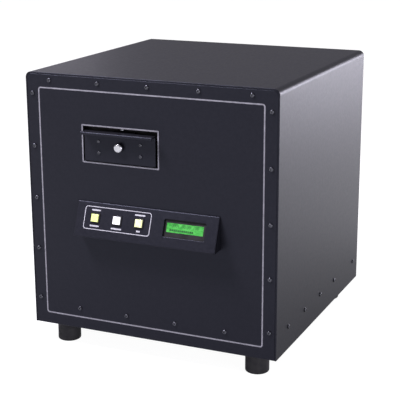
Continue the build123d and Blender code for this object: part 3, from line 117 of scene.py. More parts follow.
def rgba(hex_colour):
    return (*linear(hex_colour), 1.0)


def add_node(tree, kind, settings=None, values=None, links=None):
    """Add a node with its settings, its socket values and the sockets that feed it."""
    node = tree.nodes.new(kind)
    for key, value in (settings or {}).items():
        setattr(node, key, value)
    for socket, value in (values or {}).items():
        node.inputs[socket].default_value = value
    for socket, source in (links or {}).items():
        tree.links.new(source, node.inputs[socket])
    return node


def new_finish(name, values):
    """An empty material with its shader, and the object coordinates that its patterns read."""
    material = bpy.data.materials.new(name)
    material.use_nodes = True
    tree = material.node_tree
    tree.nodes.clear()
    shader = add_node(tree, "ShaderNodeBsdfPrincipled", values=values)
    add_node(tree, "ShaderNodeOutputMaterial", links={"Surface": shader.outputs[0]})
    place = add_node(tree, "ShaderNodeTexCoord").outputs["Object"]
    return material, tree, shader, place


def mottle(tree, shader, place, low, high, size_mm, rough, stretch=(1, 1, 1), lit=False):
    """Colour and gloss that wander between two values over patches of a real size.

    A lit finish also glows in that colour. The stretched coordinates are given back for finer patterns.
    """
    mapped = add_node(tree, "ShaderNodeMapping", values={"Scale": stretch}, links={"Vector": place})
    noise = add_node(
        tree,
        "ShaderNodeTexNoise",
        values={"Scale": 1 / (size_mm * MM), "Detail": 4.0, "Roughness": 0.6},
        links={"Vector": mapped.outputs[0]},
    )
    share = add_node(
        tree,
        "ShaderNodeMapRange",
        values={"From Min": 0.35, "From Max": 0.65},
        links={"Value": noise.outputs[0]},
    ).outputs[0]
    colour = add_node(
        tree, "ShaderNodeMix", {"data_type": "RGBA"}, {6: rgba(low), 7: rgba(high)}, {0: share}
    ).outputs[2]
    gloss = add_node(
        tree, "ShaderNodeMapRange", values={"To Min": rough[0], "To Max": rough[1]}, links={"Value": share}
    ).outputs[0]
    tree.links.new(colour, shader.inputs["Base Color"])
    tree.links.new(gloss, shader.inputs["Roughness"])
    if lit:
        tree.links.new(colour, shader.inputs["Emission Color"])
    return mapped.outputs[0]


def raised(tree, shader, height, depth_mm):
    """Bump from a height field, with its real depth."""
    bump = add_node(tree, "ShaderNodeBump", values={"Distance": depth_mm * MM}, links={"Height": height})
    tree.links.new(bump.outputs[0], shader.inputs["Normal"])
    return bump


def grain(tree, shader, vector, per_metre, detail, depth_mm):
    """Bump of fine noise with that many grains in a metre."""
    noise = add_node(
        tree, "ShaderNodeTexNoise", values={"Scale": per_metre, "Detail": detail}, links={"Vector": vector}
    )
    return raised(tree, shader, noise.outputs[0], depth_mm)


def ridges(tree, shader, vector, pitch_mm, depth_mm, settings, values=None):
    """Bump of ridges, that far apart where the vector isn't stretched."""
    scale = 2 * math.pi / WAVE_ANGLE / (pitch_mm * MM)
    wave = add_node(
        tree, "ShaderNodeTexWave", settings, {"Scale": scale, **(values or {})}, {"Vector": vector}
    )
    return raised(tree, shader, wave.outputs[0], depth_mm)


def prisms(tree, shader, vector, side_mm, depth_mm):
    """Bump of small square prisms in rows."""
    cells = add_node(
        tree,
        "ShaderNodeTexVoronoi",
        {"distance": "CHEBYCHEV"},
        {"Scale": 1 / (side_mm * MM), "Randomness": 0.0},
        {"Vector": vector},
    )
    return raised(tree, shader, cells.outputs[0], depth_mm)


def patchy(name, values, low, high, size_mm, rough, stretch=(1, 1, 1)):
    """Smooth finish with patches of colour and gloss, and no relief."""
    material, tree, shader, place = new_finish(name, values)
    mottle(tree, shader, place, low, high, size_mm, rough, stretch)
    return material


def streaked_metal(name, low, high, size_mm, rough, stretch, per_metre, depth_mm):
    """Bare metal with fine streaks along the axis where the pattern is stretched."""
    material, tree, shader, place = new_finish(name, METAL)
    mapped = mottle(tree, shader, place, low, high, size_mm, rough, stretch)
    grain(tree, shader, mapped, per_metre, detail=2, depth_mm=depth_mm)
    return material


def powder_coated_steel():
    # Powder-coated steel sheet, sprayed and baked: satin black with a fine orange peel.
    # Real orange peel is about 1 mm; it is drawn at 2.4 mm so that it shows in the render.
    paint = bpy.context.scene.degausser_paint
    material, tree, shader, place = new_finish(
        "powder_coated_steel",
        {"IOR": 1.5, "Specular IOR Level": 0.28, "Specular Tint": rgba("dce2ff")},
    )
    mapped = mottle(
        tree, shader, place, paint.coat_dark, paint.coat_light, size_mm=5, rough=(0.40, 0.45)
    )
    bump = grain(tree, shader, mapped, per_metre=1 / paint.peel_size, detail=2, depth_mm=0.06)
    folds = add_node(tree, "ShaderNodeBevel", {"samples": 6}, {"Radius": paint.fold_radius})
    tree.links.new(folds.outputs[0], bump.inputs["Normal"])
    return material


def zinc_plated_steel():
    # Folded steel, bright zinc plated: cool grey with faint rolling streaks and cloudy patches.
    cloud = {"size_mm": 18, "rough": (0.28, 0.45), "stretch": (1, 1, 0.12)}
    return streaked_metal("zinc_plated_steel", "9a9da4", "b9bbbd", **cloud, per_metre=700, depth_mm=0.01)


def black_zinc_steel():
    # Socket screws in black zinc plating: dark grey metal, worn a little brighter in patches.
    return patchy("black_zinc_steel", METAL, "3a3b40", "66676e", size_mm=1.6, rough=(0.2, 0.32))


def moulded_rubber():
    # Moulded natural rubber: matte black, slightly dusty, with a fine skin.
    material, tree, shader, place = new_finish("moulded_rubber", {"IOR": 1.5})
    mapped = mottle(tree, shader, place, "121214", "1e1e21", size_mm=9, rough=(0.62, 0.85))
    grain(tree, shader, mapped, per_metre=900, detail=3, depth_mm=0.05)
    return material


def polished_stainless_steel():
    # Stainless steel, turned and polished: bright, with very shallow tool rings round its axis.
    material, tree, shader, place = new_finish("polished_stainless_steel", METAL)
    mottle(tree, shader, place, "b0b1b6", "c8c9cd", size_mm=4, rough=(0.16, 0.26))
    axis = middle("drawer_knob")
    centred = add_node(
        tree, "ShaderNodeMapping", values={"Location": (-axis.x, 0, -axis.z)}, links={"Vector": place}
    ).outputs[0]
    rings = {"wave_type": "RINGS", "rings_direction": "Y"}
    ridges(tree, shader, centred, pitch_mm=1.184, depth_mm=0.003, settings=rings)
    return material


def moulded_abs():
    # Moulded ABS: black with the fine even grain of a spark-eroded mould.
    material, tree, shader, place = new_finish("moulded_abs", {"IOR": 1.54, "Specular IOR Level": 0.3})
    mapped = mottle(tree, shader, place, "0b0b0d", "121214", size_mm=20, rough=(0.38, 0.52))
    cell_side = 0.7 * MM
    cells = add_node(
        tree, "ShaderNodeTexVoronoi", values={"Scale": 1 / cell_side}, links={"Vector": mapped}
    ).outputs[0]
    raised(tree, shader, cells, depth_mm=0.02)
    return material


def lens_plastic(name, low, high, glow):
    """Lamp lens: diffusing acrylic over a bed of small prisms, faintly lit from behind."""
    material, tree, shader, place = new_finish(
        name, {"IOR": 1.49, "Coat Weight": 0.3, "Emission Strength": glow}
    )
    mottle(tree, shader, place, low, high, size_mm=6, rough=(0.22, 0.34), lit=True)
    turned = add_node(
        tree, "ShaderNodeMapping", values={"Rotation": (-CONSOLE_TURN[0], 0, 0)}, links={"Vector": place}
    ).outputs[0]
    prisms(tree, shader, turned, side_mm=2.7, depth_mm=0.15)
    return material


def acrylic_lens_green():
    # Yellow-green acrylic, as on a lit push button.
    return lens_plastic("acrylic_lens_green", "cddb78", "e3ec9e", glow=0.3)


def acrylic_lens_pale():
    # Paler yellow-green acrylic: the lamp behind it is whiter.
    return lens_plastic("acrylic_lens_pale", "d5da98", "e6e9b8", glow=0.3)


def acrylic_lens_white():
    # Milky white acrylic over a white lamp.
    return lens_plastic("acrylic_lens_white", "eceef2", "fcfcfd", glow=0.5)


def display_film():
    # Lit film of a character display: saturated green, a little uneven, behind a glossy cover.
    console = bpy.context.scene.degausser_console
    material, tree, shader, place = new_finish(
        "display_film", {"IOR": 1.49, "Coat Weight": 0.4, "Emission Strength": 0.3}
    )
    low, high = console.film_dark, console.film_light
    mapped = mottle(
        tree, shader, place, low, high, size_mm=9, rough=(0.25, 0.35), stretch=(1, 1, 2), lit=True
    )
    prisms(tree, shader, mapped, side_mm=0.65, depth_mm=0.02)
    return material


def display_segment():
    # Dark green liquid crystal segments.
    return patchy("display_segment", {"IOR": 1.49}, "0b3f14", "145a1f", size_mm=3, rough=(0.3, 0.4))


def silkscreen_ink():
    # Light grey silk-screened ink: matte and slightly uneven where the screen laid it thin.
    ink = bpy.context.scene.degausser_print
    material, tree, shader, place = new_finish("silkscreen_ink", {"IOR": 1.48})
    mapped = mottle(tree, shader, place, ink.ink_dark, ink.ink_light, size_mm=7, rough=(0.5, 0.65))
    grain(tree, shader, mapped, per_metre=1500, detail=1, depth_mm=0.01)
    return material


def silkscreen_white():
    # White silk-screened ink of the small marks.
    return patchy("silkscreen_white", {"IOR": 1.48}, "9c9ca2", "b2b2b7", size_mm=4, rough=(0.5, 0.65))


def glass_epoxy_board():
    # Glass epoxy circuit board under green lacquer: copper tracks show as paler lines.
    material, tree, shader, place = new_finish("glass_epoxy_board", {"IOR": 1.55, "Coat Weight": 0.3})
    mapped = mottle(tree, shader, place, "0d4a22", "135c2c", size_mm=14, rough=(0.3, 0.42))
    tracks = add_node(
        tree,
        "ShaderNodeTexBrick",
        values={
            "Color1": rgba("0d4a22"),
            "Color2": rgba("11552a"),
            "Mortar": rgba("2f8a4c"),
            "Scale": 1.0,
            "Mortar Size": 0.4 * MM,
            "Brick Width": 11 * MM,
            "Row Height": 3.6 * MM,
        },
        links={"Vector": mapped},
    )
    tree.links.new(tracks.outputs[0], shader.inputs["Base Color"])
    raised(tree, shader, tracks.outputs[1], depth_mm=0.03)
    return material


def phenolic(name, low, high, rough):
    """Phenolic laminate, sawn and drilled, with faint fibres along the sheet."""
    material, tree, shader, place = new_finish(name, {"IOR": 1.55})
    mapped = mottle(tree, shader, place, low, high, size_mm=12, rough=rough, stretch=(0.3, 1, 1))
    grain(tree, shader, mapped, per_metre=900, detail=4, depth_mm=0.03)
    return material


def paper_phenolic():
    # Paper phenolic laminate: brown and fibrous.
    return phenolic("paper_phenolic", "553318", "7a4d2a", rough=(0.45, 0.62))


def black_phenolic():
    # Phenolic laminate with black pigment: dull and nearly even. Its black also stands in for the shade in
    # the slot above the drawer, where the clamp shows, so it is partly painted shade.
    return phenolic("black_phenolic", "121213", "1c1b1c", rough=(0.5, 0.66))


def machined_acetal():
    # Machined black acetal: satin, with cutter marks along its length.
    material, tree, shader, place = new_finish("machined_acetal", {"IOR": 1.48})
    mapped = mottle(
        tree, shader, place, "18181b", "232327", size_mm=10, rough=(0.36, 0.5), stretch=(1, 0.2, 1)
    )
    bands = {"wave_type": "BANDS", "bands_direction": "Y"}
    ridges(tree, shader, mapped, pitch_mm=2.96, depth_mm=0.008, settings=bands, values={"Distortion": 1.5})
    return material


def wound_wire(name, low, high, pitch_mm, direction, metallic):
    """Turns of wire side by side, one ridge for each turn."""
    material, tree, shader, place = new_finish(name, {"Metallic": metallic, "Coat Weight": 0.2})
    mottle(tree, shader, place, low, high, size_mm=5, rough=(0.25, 0.4))
    bands = {"wave_type": "BANDS", "bands_direction": direction}
    uneven = {"Distortion": 0.4, "Detail": 1.0}
    ridges(tree, shader, place, pitch_mm, depth_mm=0.6, settings=bands, values=uneven)
    return material


def enamelled_copper_wire():
    # Thick enamelled copper wire, wound in layers: orange-brown with a clear glossy enamel.
    turns = {"pitch_mm": 6.71, "direction": "Y", "metallic": 0.9}
    return wound_wire("enamelled_copper_wire", "9c4f22", "c97a43", **turns)


def transformer_tape():
    # Polyester tape over fine wire: amber, with the ridges of the turns showing through.
    turns = {"pitch_mm": 3.95, "direction": "Z", "metallic": 0.0}
    return wound_wire("transformer_tape", "a9781c", "c99a35", **turns)


def copper_strip():
    # Drawn copper strip: warm, brushed along its length, with slightly browned patches.
    cloud = {"size_mm": 8, "rough": (0.22, 0.38), "stretch": (1, 0.15, 1)}
    return patchy("copper_strip", METAL, "a8603a", "cf8a5e", **cloud)


def plated_brass():
    # Nickel-plated brass contacts: bright and warm grey.
    return patchy("plated_brass", METAL, "b9a877", "d3c69b", size_mm=2, rough=(0.2, 0.32))


def drawn_aluminium():
    # Deep-drawn aluminium cans: pale, with streaks up the wall.
    cloud = {"size_mm": 5, "rough": (0.26, 0.4), "stretch": (1, 1, 0.06)}
    return streaked_metal("drawn_aluminium", "b5b7bb", "d0d1d3", **cloud, per_metre=900, depth_mm=0.01)


def extruded_aluminium():
    # Extruded aluminium in natural anodising: matte grey with die lines along its length.
    cloud = {"size_mm": 5, "rough": (0.38, 0.5), "stretch": (1, 0.05, 1)}
    return streaked_metal("extruded_aluminium", "8f9196", "a9abb0", **cloud, per_metre=1100, depth_mm=0.02)


def laminated_core_steel():
    # Stacked transformer sheets, dipped in varnish: dark grey with an edge line for each few sheets.
    # Real sheets are 0.5 mm thick; the lines are drawn 3 mm apart so that they show.
    material, tree, shader, place = new_finish("laminated_core_steel", {"Metallic": 0.6})
    mottle(tree, shader, place, "2d2d31", "3d3b3a", size_mm=15, rough=(0.4, 0.6))
    edges = {"wave_type": "BANDS", "bands_direction": "Y", "wave_profile": "SAW"}
    ridges(tree, shader, place, pitch_mm=2.96, depth_mm=0.1, settings=edges)
    return material


def finish(maker):
    """The material of that maker, made once."""
    return bpy.data.materials.get(maker.__name__) or maker()


def dress(maker, *nodes):
    """Give these nodes of the frame their finish in place of the plain one."""
    for name in nodes:
        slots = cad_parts[name].data.materials
        slots.clear()
        slots.append(finish(maker))


def deselect():
    bpy.ops.object.select_all(action="DESELECT")


def pick_faces(piece, test):
    """Enter edit mode with only the faces selected that pass the test."""
    bpy.ops.object.mode_set(mode="EDIT")
    bpy.ops.mesh.select_mode(type="FACE")
    bpy.ops.mesh.select_all(action="DESELECT")
    bpy.ops.object.mode_set(mode="OBJECT")
    for face in piece.data.polygons:
        face.select = test(face)
    bpy.ops.object.mode_set(mode="EDIT")


def push(height):
    """Extrude the selected faces upwards, or down where the height is negative."""
    bpy.ops.mesh.extrude_region_move(TRANSFORM_OT_translate={"value": (0, 0, height)})


def settle(piece, place, turn=(0, 0, 0)):
    """Put a piece that was made at the origin in its place, and keep the place in its mesh."""
    deselect()
    piece.select_set(True)
    bpy.context.view_layer.objects.active = piece
    piece.rotation_euler = turn
    piece.location = place
    bpy.ops.object.transform_apply(location=True, rotation=True, scale=True)


def apply_modifiers(piece):
    bpy.context.view_layer.objects.active = piece
    for modifier in list(piece.modifiers):
        bpy.ops.object.modifier_apply(modifier=modifier.name)


def thicken(sheet, thickness, offset):
    """Give a sheet its thickness: above it with offset 1, to both sides with offset 0."""
    solidify = sheet.modifiers.new("thickness", "SOLIDIFY")
    solidify.thickness = thickness
    solidify.offset = offset
    apply_modifiers(sheet)


def join(pieces):
    """One object of several finished pieces."""
    deselect()
    for piece in pieces:
        piece.select_set(True)
    bpy.context.view_layer.objects.active = pieces[0]
    bpy.ops.object.join()
    return pieces[0]


def hand_over(piece, name, body, maker, slot, *nodes):
    """Name a finished piece, give it its finish and tie it to its body."""
    piece.name = name
    piece.data.name = name
    piece.data.materials.clear()
    piece.data.materials.append(finish(maker))
    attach(piece, body)
    if nodes:
        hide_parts(*nodes)


def console_point(right, up, out):
    """Point over the console's face, from its middle: to the right, up the slope and out of it."""
    return CONSOLE_MIDDLE + Vector(
        (
            right,
            up * math.sin(CONSOLE_SLOPE) - out * math.cos(CONSOLE_SLOPE),
            up * math.cos(CONSOLE_SLOPE) + out * math.sin(CONSOLE_SLOPE),
        )
    )


def rounded_sheet(width, height, corner, segments):
    """Flat sheet with rounded corners at the origin, left in edit mode."""
    deselect()
    bpy.ops.mesh.primitive_plane_add(size=1)
    sheet = bpy.context.object
    sheet.scale = (width, height, 1)
    bpy.ops.object.transform_apply(scale=True)
    bpy.ops.object.mode_set(mode="EDIT")
    bpy.ops.mesh.select_all(action="SELECT")
    bpy.ops.mesh.bevel(offset=corner, segments=segments, affect="VERTICES")
    return sheet


def printed_line(width, height, line, corner, film):
    """Closed outline with rounded corners, printed as a thin film of ink, lying at the origin."""
    ring = rounded_sheet(width, height, corner, segments=8)
    bpy.ops.mesh.select_mode(type="FACE")
    bpy.ops.mesh.select_all(action="SELECT")
    bpy.ops.mesh.inset(thickness=line)
    bpy.ops.mesh.delete(type="FACE")
    bpy.ops.object.mode_set(mode="OBJECT")
    thicken(ring, film, offset=1)
    return ring


def printed_bar(width, height, film):
    """Small solid mark with rounded corners, lying at the origin."""
    corner_share = 0.3
    bar = rounded_sheet(width, height, min(width, height) * corner_share, segments=4)
    bpy.ops.object.mode_set(mode="OBJECT")
    thicken(bar, film, offset=1)
    return bar


def rimmed_block(width, height, depth, rim, sink):
    """Block with its top at the origin and a window sunk inside its rim, left in edit mode."""
    deselect()
    bpy.ops.mesh.primitive_cube_add(size=1, location=(0, 0, -depth / 2))
    block = bpy.context.object
    block.scale = (width, height, depth)
    bpy.ops.object.transform_apply(location=True, scale=True)
    pick_faces(block, lambda face: face.normal.z > STRAIGHT)
    bpy.ops.mesh.inset(thickness=rim)
    push(-sink)
    return block


def moulded_lens(side, height):
    """Square lens with a rim, a groove inside it and a raised window, its top at the origin."""
    rim_share, groove_share, groove_depth_share = 0.06, 0.04, 0.05
    groove_depth = height * groove_depth_share
    lens = rimmed_block(side, side, height, rim=side * rim_share, sink=groove_depth)
    bpy.ops.mesh.inset(thickness=side * groove_share)
    push(groove_depth)
    bpy.ops.object.mode_set(mode="OBJECT")
    rounding = lens.modifiers.new("rounding", "BEVEL")
    rounding.width = 0.4 * MM
    rounding.segments = 3
    apply_modifiers(lens)
    return lens


def fan_blade(fan, root, turn):
    """One blade, curved across its width, swept to one side and flatter towards its tip."""
    root_pitch_share, tip_pitch_share = 1.15, 0.8
    sweep = 0.25
    camber_height, thickness = 1.6 * MM, 1.4 * MM
    deselect()
    bpy.ops.mesh.primitive_grid_add(x_subdivisions=12, y_subdivisions=8, size=1)
    blade = bpy.context.object
    for vertex in blade.data.vertices:
        share = vertex.co.x + 0.5
        radius = root + share * (fan.tip_radius - root)
        pitch = fan.pitch * (root_pitch_share + (tip_pitch_share - root_pitch_share) * share)
        across = vertex.co.y * fan.blade_width
        camber = camber_height * (1 - 4 * vertex.co.y**2)
        swing = (across * math.cos(pitch) - camber * math.sin(pitch)) / radius + sweep * share
        rise = across * math.sin(pitch) + camber * math.cos(pitch)
        angle = turn + swing
        vertex.co = (radius * math.cos(angle), radius * math.sin(angle), rise)
    thicken(blade, thickness, offset=0)
    return blade


class DegausserPaintSettings(bpy.types.PropertyGroup):
    coat_dark: bpy.props.StringProperty(
        name="Coat, dark", description="Darker sRGB hex colour of the powder coat", default="0e0e12"
    )
    coat_light: bpy.props.StringProperty(
        name="Coat, light", description="Lighter sRGB hex colour of the powder coat", default="131317"
    )
    peel_size: bpy.props.FloatProperty(
        name="Orange peel", description="Size of the coat's orange peel", default=0.0024, unit="LENGTH"
    )
    fold_radius: bpy.props.FloatProperty(
        name="Fold radius",
        description="Rounding of the coat over folds and cut edges",
        default=0.0015,
        unit="LENGTH",
    )


class DegausserPrintSettings(bpy.types.PropertyGroup):
    ink_dark: bpy.props.StringProperty(
        name="Ink, dark", description="Darker sRGB hex colour of the panel's lines", default="74747a"
    )
    ink_light: bpy.props.StringProperty(
        name="Ink, light", description="Lighter sRGB hex colour of the panel's lines", default="8b8b91"
    )
    film: bpy.props.FloatProperty(
        name="Ink thickness", description="Thickness of the ink film", default=0.00012, unit="LENGTH"
    )
    border_line: bpy.props.FloatProperty(
        name="Border line", description="Width of the line round the panel", default=0.0023, unit="LENGTH"
    )
    border_width: bpy.props.FloatProperty(
        name="Border width", description="Outer width of the border", default=0.4098, unit="LENGTH"
    )
    border_low: bpy.props.FloatProperty(
        name="Border low",
        description="Height of the border's lower edge on the cabinet",
        default=0.0201,
        unit="LENGTH",
    )
    border_high: bpy.props.FloatProperty(
        name="Border high",
        description="Height of the border's upper edge on the cabinet",
        default=0.4254,
        unit="LENGTH",
    )
    border_corner: bpy.props.FloatProperty(
        name="Border corner", description="Outer corner radius of the border", default=0.005, unit="LENGTH"
    )
    drawer_line: bpy.props.FloatProperty(
        name="Drawer line", description="Width of the line round the drawer", default=0.0023, unit="LENGTH"
    )
    drawer_width: bpy.props.FloatProperty(
        name="Drawer outline width",
        description="Outer width of the drawer's outline",
        default=0.1435,
        unit="LENGTH",
    )
    drawer_height: bpy.props.FloatProperty(
        name="Drawer outline height",
        description="Outer height of the drawer's outline",
        default=0.0656,
        unit="LENGTH",
    )
    drawer_corner: bpy.props.FloatProperty(
        name="Drawer corner",
        description="Outer corner radius of the drawer's outline",
        default=0.0015,
        unit="LENGTH",
    )
    drawer_level: bpy.props.FloatProperty(
        name="Drawer outline level",
        description="Height of its middle on the cabinet",
        default=0.3348,
        unit="LENGTH",
    )
    lamp_line: bpy.props.FloatProperty(
        name="Lamp line", description="Width of the line round the lamps", default=0.0012, unit="LENGTH"
    )
    lamp_width: bpy.props.FloatProperty(
        name="Lamp outline width",
        description="Outer width of the lamps' outline",
        default=0.125,
        unit="LENGTH",
    )
    lamp_height: bpy.props.FloatProperty(
        name="Lamp outline height",
        description="Outer height of the lamps' outline",
        default=0.0395,
        unit="LENGTH",
    )
    lamp_corner: bpy.props.FloatProperty(
        name="Lamp corner",
        description="Outer corner radius of the lamps' outline",
        default=0.005,
        unit="LENGTH",
    )
    bar_height: bpy.props.FloatProperty(
        name="Label bar", description="Height of the bars by the lamps", default=0.0026, unit="LENGTH"
    )


class DegausserConsoleSettings(bpy.types.PropertyGroup):
    film_dark: bpy.props.StringProperty(
        name="Display, dark", description="Darker sRGB hex colour of the lit display", default="267f2a"
    )
    film_light: bpy.props.StringProperty(
        name="Display, light", description="Lighter sRGB hex colour of the lit display", default="45a142"
    )
    lamp_x: bpy.props.FloatProperty(
        name="Lamp place", description="Place of the middle lamp", default=-0.052, unit="LENGTH"
    )
    lamp_pitch: bpy.props.FloatProperty(
        name="Lamp pitch", description="Distance between two lamps", default=0.0413, unit="LENGTH"
    )
    lamp_drop: bpy.props.FloatProperty(
        name="Lamp drop",
        description="Distance from the console's top edge to the lamps",
        default=0.0265,
        unit="LENGTH",
    )
    lens_side: bpy.props.FloatProperty(
        name="Lens side", description="Side of a lamp lens", default=0.0128, unit="LENGTH"
    )
    lens_top: bpy.props.FloatProperty(
        name="Lens top",
        description="How far a lens stands over the console's face",
        default=0.0032,
        unit="LENGTH",
    )
    button_height: bpy.props.FloatProperty(
        name="Button height", description="Height of a push button's lens", default=0.009, unit="LENGTH"
    )
    status_height: bpy.props.FloatProperty(
        name="Status height", description="Height of the status lamp's lens", default=0.0115, unit="LENGTH"
    )
    display_x: bpy.props.FloatProperty(
        name="Display place", description="Place of the display's middle", default=0.0718, unit="LENGTH"
    )
    display_drop: bpy.props.FloatProperty(
        name="Display drop",
        description="Distance from the top edge to the lit area's middle",
        default=0.0265,
        unit="LENGTH",
    )
    view_width: bpy.props.FloatProperty(
        name="Lit width", description="Width of the display's lit area", default=0.066, unit="LENGTH"
    )
    view_height: bpy.props.FloatProperty(
        name="Lit height", description="Height of the display's lit area", default=0.0155, unit="LENGTH"
    )
    view_depth: bpy.props.FloatProperty(
        name="Lit depth",
        description="Depth of the lit area under the console's face",
        default=0.003,
        unit="LENGTH",
    )


class DegausserFanSettings(bpy.types.PropertyGroup):
    blades: bpy.props.IntProperty(
        name="Blades", description="Number of fan blades", default=7, min=3, max=13
    )
    blade_width: bpy.props.FloatProperty(
        name="Blade width", description="Width of a blade along its pitch", default=0.021, unit="LENGTH"
    )
    pitch: bpy.props.FloatProperty(
        name="Pitch", description="Blade angle before its twist", default=math.radians(38), subtype="ANGLE"
    )
    hub_radius: bpy.props.FloatProperty(
        name="Hub radius", description="Radius of the hub", default=0.021, unit="LENGTH"
    )
    hub_depth: bpy.props.FloatProperty(
        name="Hub depth", description="Length of the hub along its axis", default=0.016, unit="LENGTH"
    )
    tip_radius: bpy.props.FloatProperty(
        name="Tip radius", description="Radius at the blades' tips", default=0.0548, unit="LENGTH"
    )


class DegausserStageSettings(bpy.types.PropertyGroup):
    camera_place: bpy.props.FloatVectorProperty(
        name="Camera", description="Place of the camera", default=(0.8128, -1.8333, 0.7862), subtype="XYZ"
    )
    camera_azimuth: bpy.props.FloatProperty(
        name="Azimuth", description="Camera turn to the left", default=math.radians(24.0), subtype="ANGLE"
    )
    camera_drop: bpy.props.FloatProperty(
        name="Elevation",
        description="How far the camera looks down",
        default=math.radians(15.53),
        subtype="ANGLE",
    )
    camera_roll: bpy.props.FloatProperty(
        name="Roll", description="Camera roll", default=math.radians(-0.19), subtype="ANGLE"
    )
    focal_pixels: bpy.props.FloatProperty(
        name="Focal length", description="Focal length in pixels of the image's side", default=1129.4
    )
    key_power: bpy.props.FloatProperty(
        name="Key", description="Power of the key lamp", default=145.0, unit="POWER"
    )
    side_power: bpy.props.FloatProperty(
        name="Side", description="Power of the side lamp", default=50.0, unit="POWER"
    )
    right_power: bpy.props.FloatProperty(
        name="Right", description="Power of the right lamp", default=18.0, unit="POWER"
    )
    front_power: bpy.props.FloatProperty(
        name="Front", description="Power of the front lamp", default=3.0, unit="POWER"
    )
    back_power: bpy.props.FloatProperty(
        name="Back", description="Power of the back lamp", default=2.5, unit="POWER"
    )
    ambient: bpy.props.FloatProperty(
        name="Ambient", description="Level of the plain surroundings", default=0.30
    )
    gloss_share: bpy.props.FloatProperty(
        name="Gloss share",
        description="How white the surroundings are in gloss",
        default=0.1,
        subtype="FACTOR",
    )
    # Painted shade: in reflections the floor is dimmer near the cabinet than far from it, fading with
    # distance.
    floor_near: bpy.props.FloatProperty(
        name="Floor near", description="How white the near floor is in gloss", default=0.3, subtype="FACTOR"
    )
    floor_far: bpy.props.FloatProperty(
        name="Floor far", description="How white the far floor is in gloss", default=0.95, subtype="FACTOR"
    )
    floor_reach: bpy.props.FloatVectorProperty(
        name="Floor reach",
        description="How far out the near floor ends and the far floor starts",
        default=(0.25, 0.95),
        size=2,
        unit="LENGTH",
    )
    cast: bpy.props.FloatVectorProperty(
        name="Cast",
        description="Cool cast of the lamps and the surroundings",
        default=(0.93, 0.89, 1.0),
        subtype="COLOR",
    )


class DEGAUSSER_OT_shell(bpy.types.Operator):
    """Paint the sheet metal and dress the feet and the outside screws"""

    bl_idname = "degausser.shell"
    bl_label = "Shell"

    def execute(self, context):
        dress(powder_coated_steel, "wrapper_cover", "front_panel", "rear_panel", "base_pan")
        dress(powder_coated_steel, "console_housing", "drawer_front")
        dress(moulded_rubber, "foot_front_left", "foot_front_right", "foot_rear_left", "foot_rear_right")
        dress(black_zinc_steel, "front_panel_screws", "side_panel_screws", "rear_panel_screws")
        dress(black_zinc_steel, "drawer_screws", "console_screws", "fan_screws")
        dress(zinc_plated_steel, "foot_bolts")
        return {"FINISHED"}


class DEGAUSSER_OT_inside(bpy.types.Operator):
    """Dress what stands inside the cabinet and in the rear panel"""

    bl_idname = "degausser.inside"
    bl_label = "Inside"

    def execute(self, context):
        dress(zinc_plated_steel, "front_frame", "rear_frame", "coil_shelf", "guide_end_bracket")
        dress(zinc_plated_steel, "coil_tie_rods", "board_standoffs", "lock_solenoid", "lock_plunger")
        dress(zinc_plated_steel, "fan_guard", "terminal_screws")
        dress(machined_acetal, "drawer_guide_left", "drawer_guide_right", "drawer_tray")
        # The former and clamps are black partly as painted shade of the slot above the drawer.
        dress(black_phenolic, "coil_former", "coil_clamp_front", "coil_clamp_rear")
        dress(paper_phenolic, "capacitor_seat")
        dress(enamelled_copper_wire, "coil_winding")
        dress(transformer_tape, "transformer_winding")
        dress(laminated_core_steel, "transformer_core")
        dress(copper_strip, "bus_bars")
        dress(drawn_aluminium, "capacitor_1", "capacitor_2", "capacitor_3", "capacitor_4")
        dress(extruded_aluminium, "heat_sink")
        dress(glass_epoxy_board, "control_board", "display_board")
        dress(moulded_abs, "thyristor", "display_module", "fan_frame", "mains_inlet", "mains_rocker")
        dress(moulded_abs, "start_button_body", "status_lamp_body", "power_button_body")
        dress(plated_brass, "mains_blades")
        return {"FINISHED"}


class DEGAUSSER_OT_print(bpy.types.Operator):
    """Print the panel's border, the outlines of the drawer and the lamps, and the bars by the lamps"""

    bl_idname = "degausser.print"
    bl_label = "Printed lines"

    def execute(self, context):
        ink = context.scene.degausser_print
        console = context.scene.degausser_console
        height = ink.border_high - ink.border_low
        level = CABINET_Z + (ink.border_high + ink.border_low) / 2
        border = printed_line(ink.border_width, height, ink.border_line, ink.border_corner, ink.film)
        settle(border, (0, FRONT_Y, level), FRONT_TURN)
        hand_over(border, "panel_border_print", "cabinet", silkscreen_ink, "powder_black")

        outline = printed_line(
            ink.drawer_width, ink.drawer_height, ink.drawer_line, ink.drawer_corner, ink.film
        )
        settle(outline, (DRAWER_X, FRONT_Y, CABINET_Z + ink.drawer_level), FRONT_TURN)
        hand_over(outline, "drawer_outline_print", "cabinet", silkscreen_ink, "powder_black")

        row = CONSOLE_FACE / 2 - console.lamp_drop
        lamps = printed_line(ink.lamp_width, ink.lamp_height, ink.lamp_line, ink.lamp_corner, ink.film)
        settle(lamps, console_point(console.lamp_x, row, 0), CONSOLE_TURN)
        hand_over(lamps, "lamp_outline_print", "cabinet", silkscreen_white, "powder_black")

        marks = []
        for step, rise, length in LABEL_BARS:
            mark = printed_bar(length, ink.bar_height, ink.film)
            spot = console_point(console.lamp_x + step * console.lamp_pitch, row + rise, 0)
            settle(mark, spot, CONSOLE_TURN)
            marks.append(mark)
        hand_over(join(marks), "lamp_marks_print", "cabinet", silkscreen_white, "powder_black")
        return {"FINISHED"}


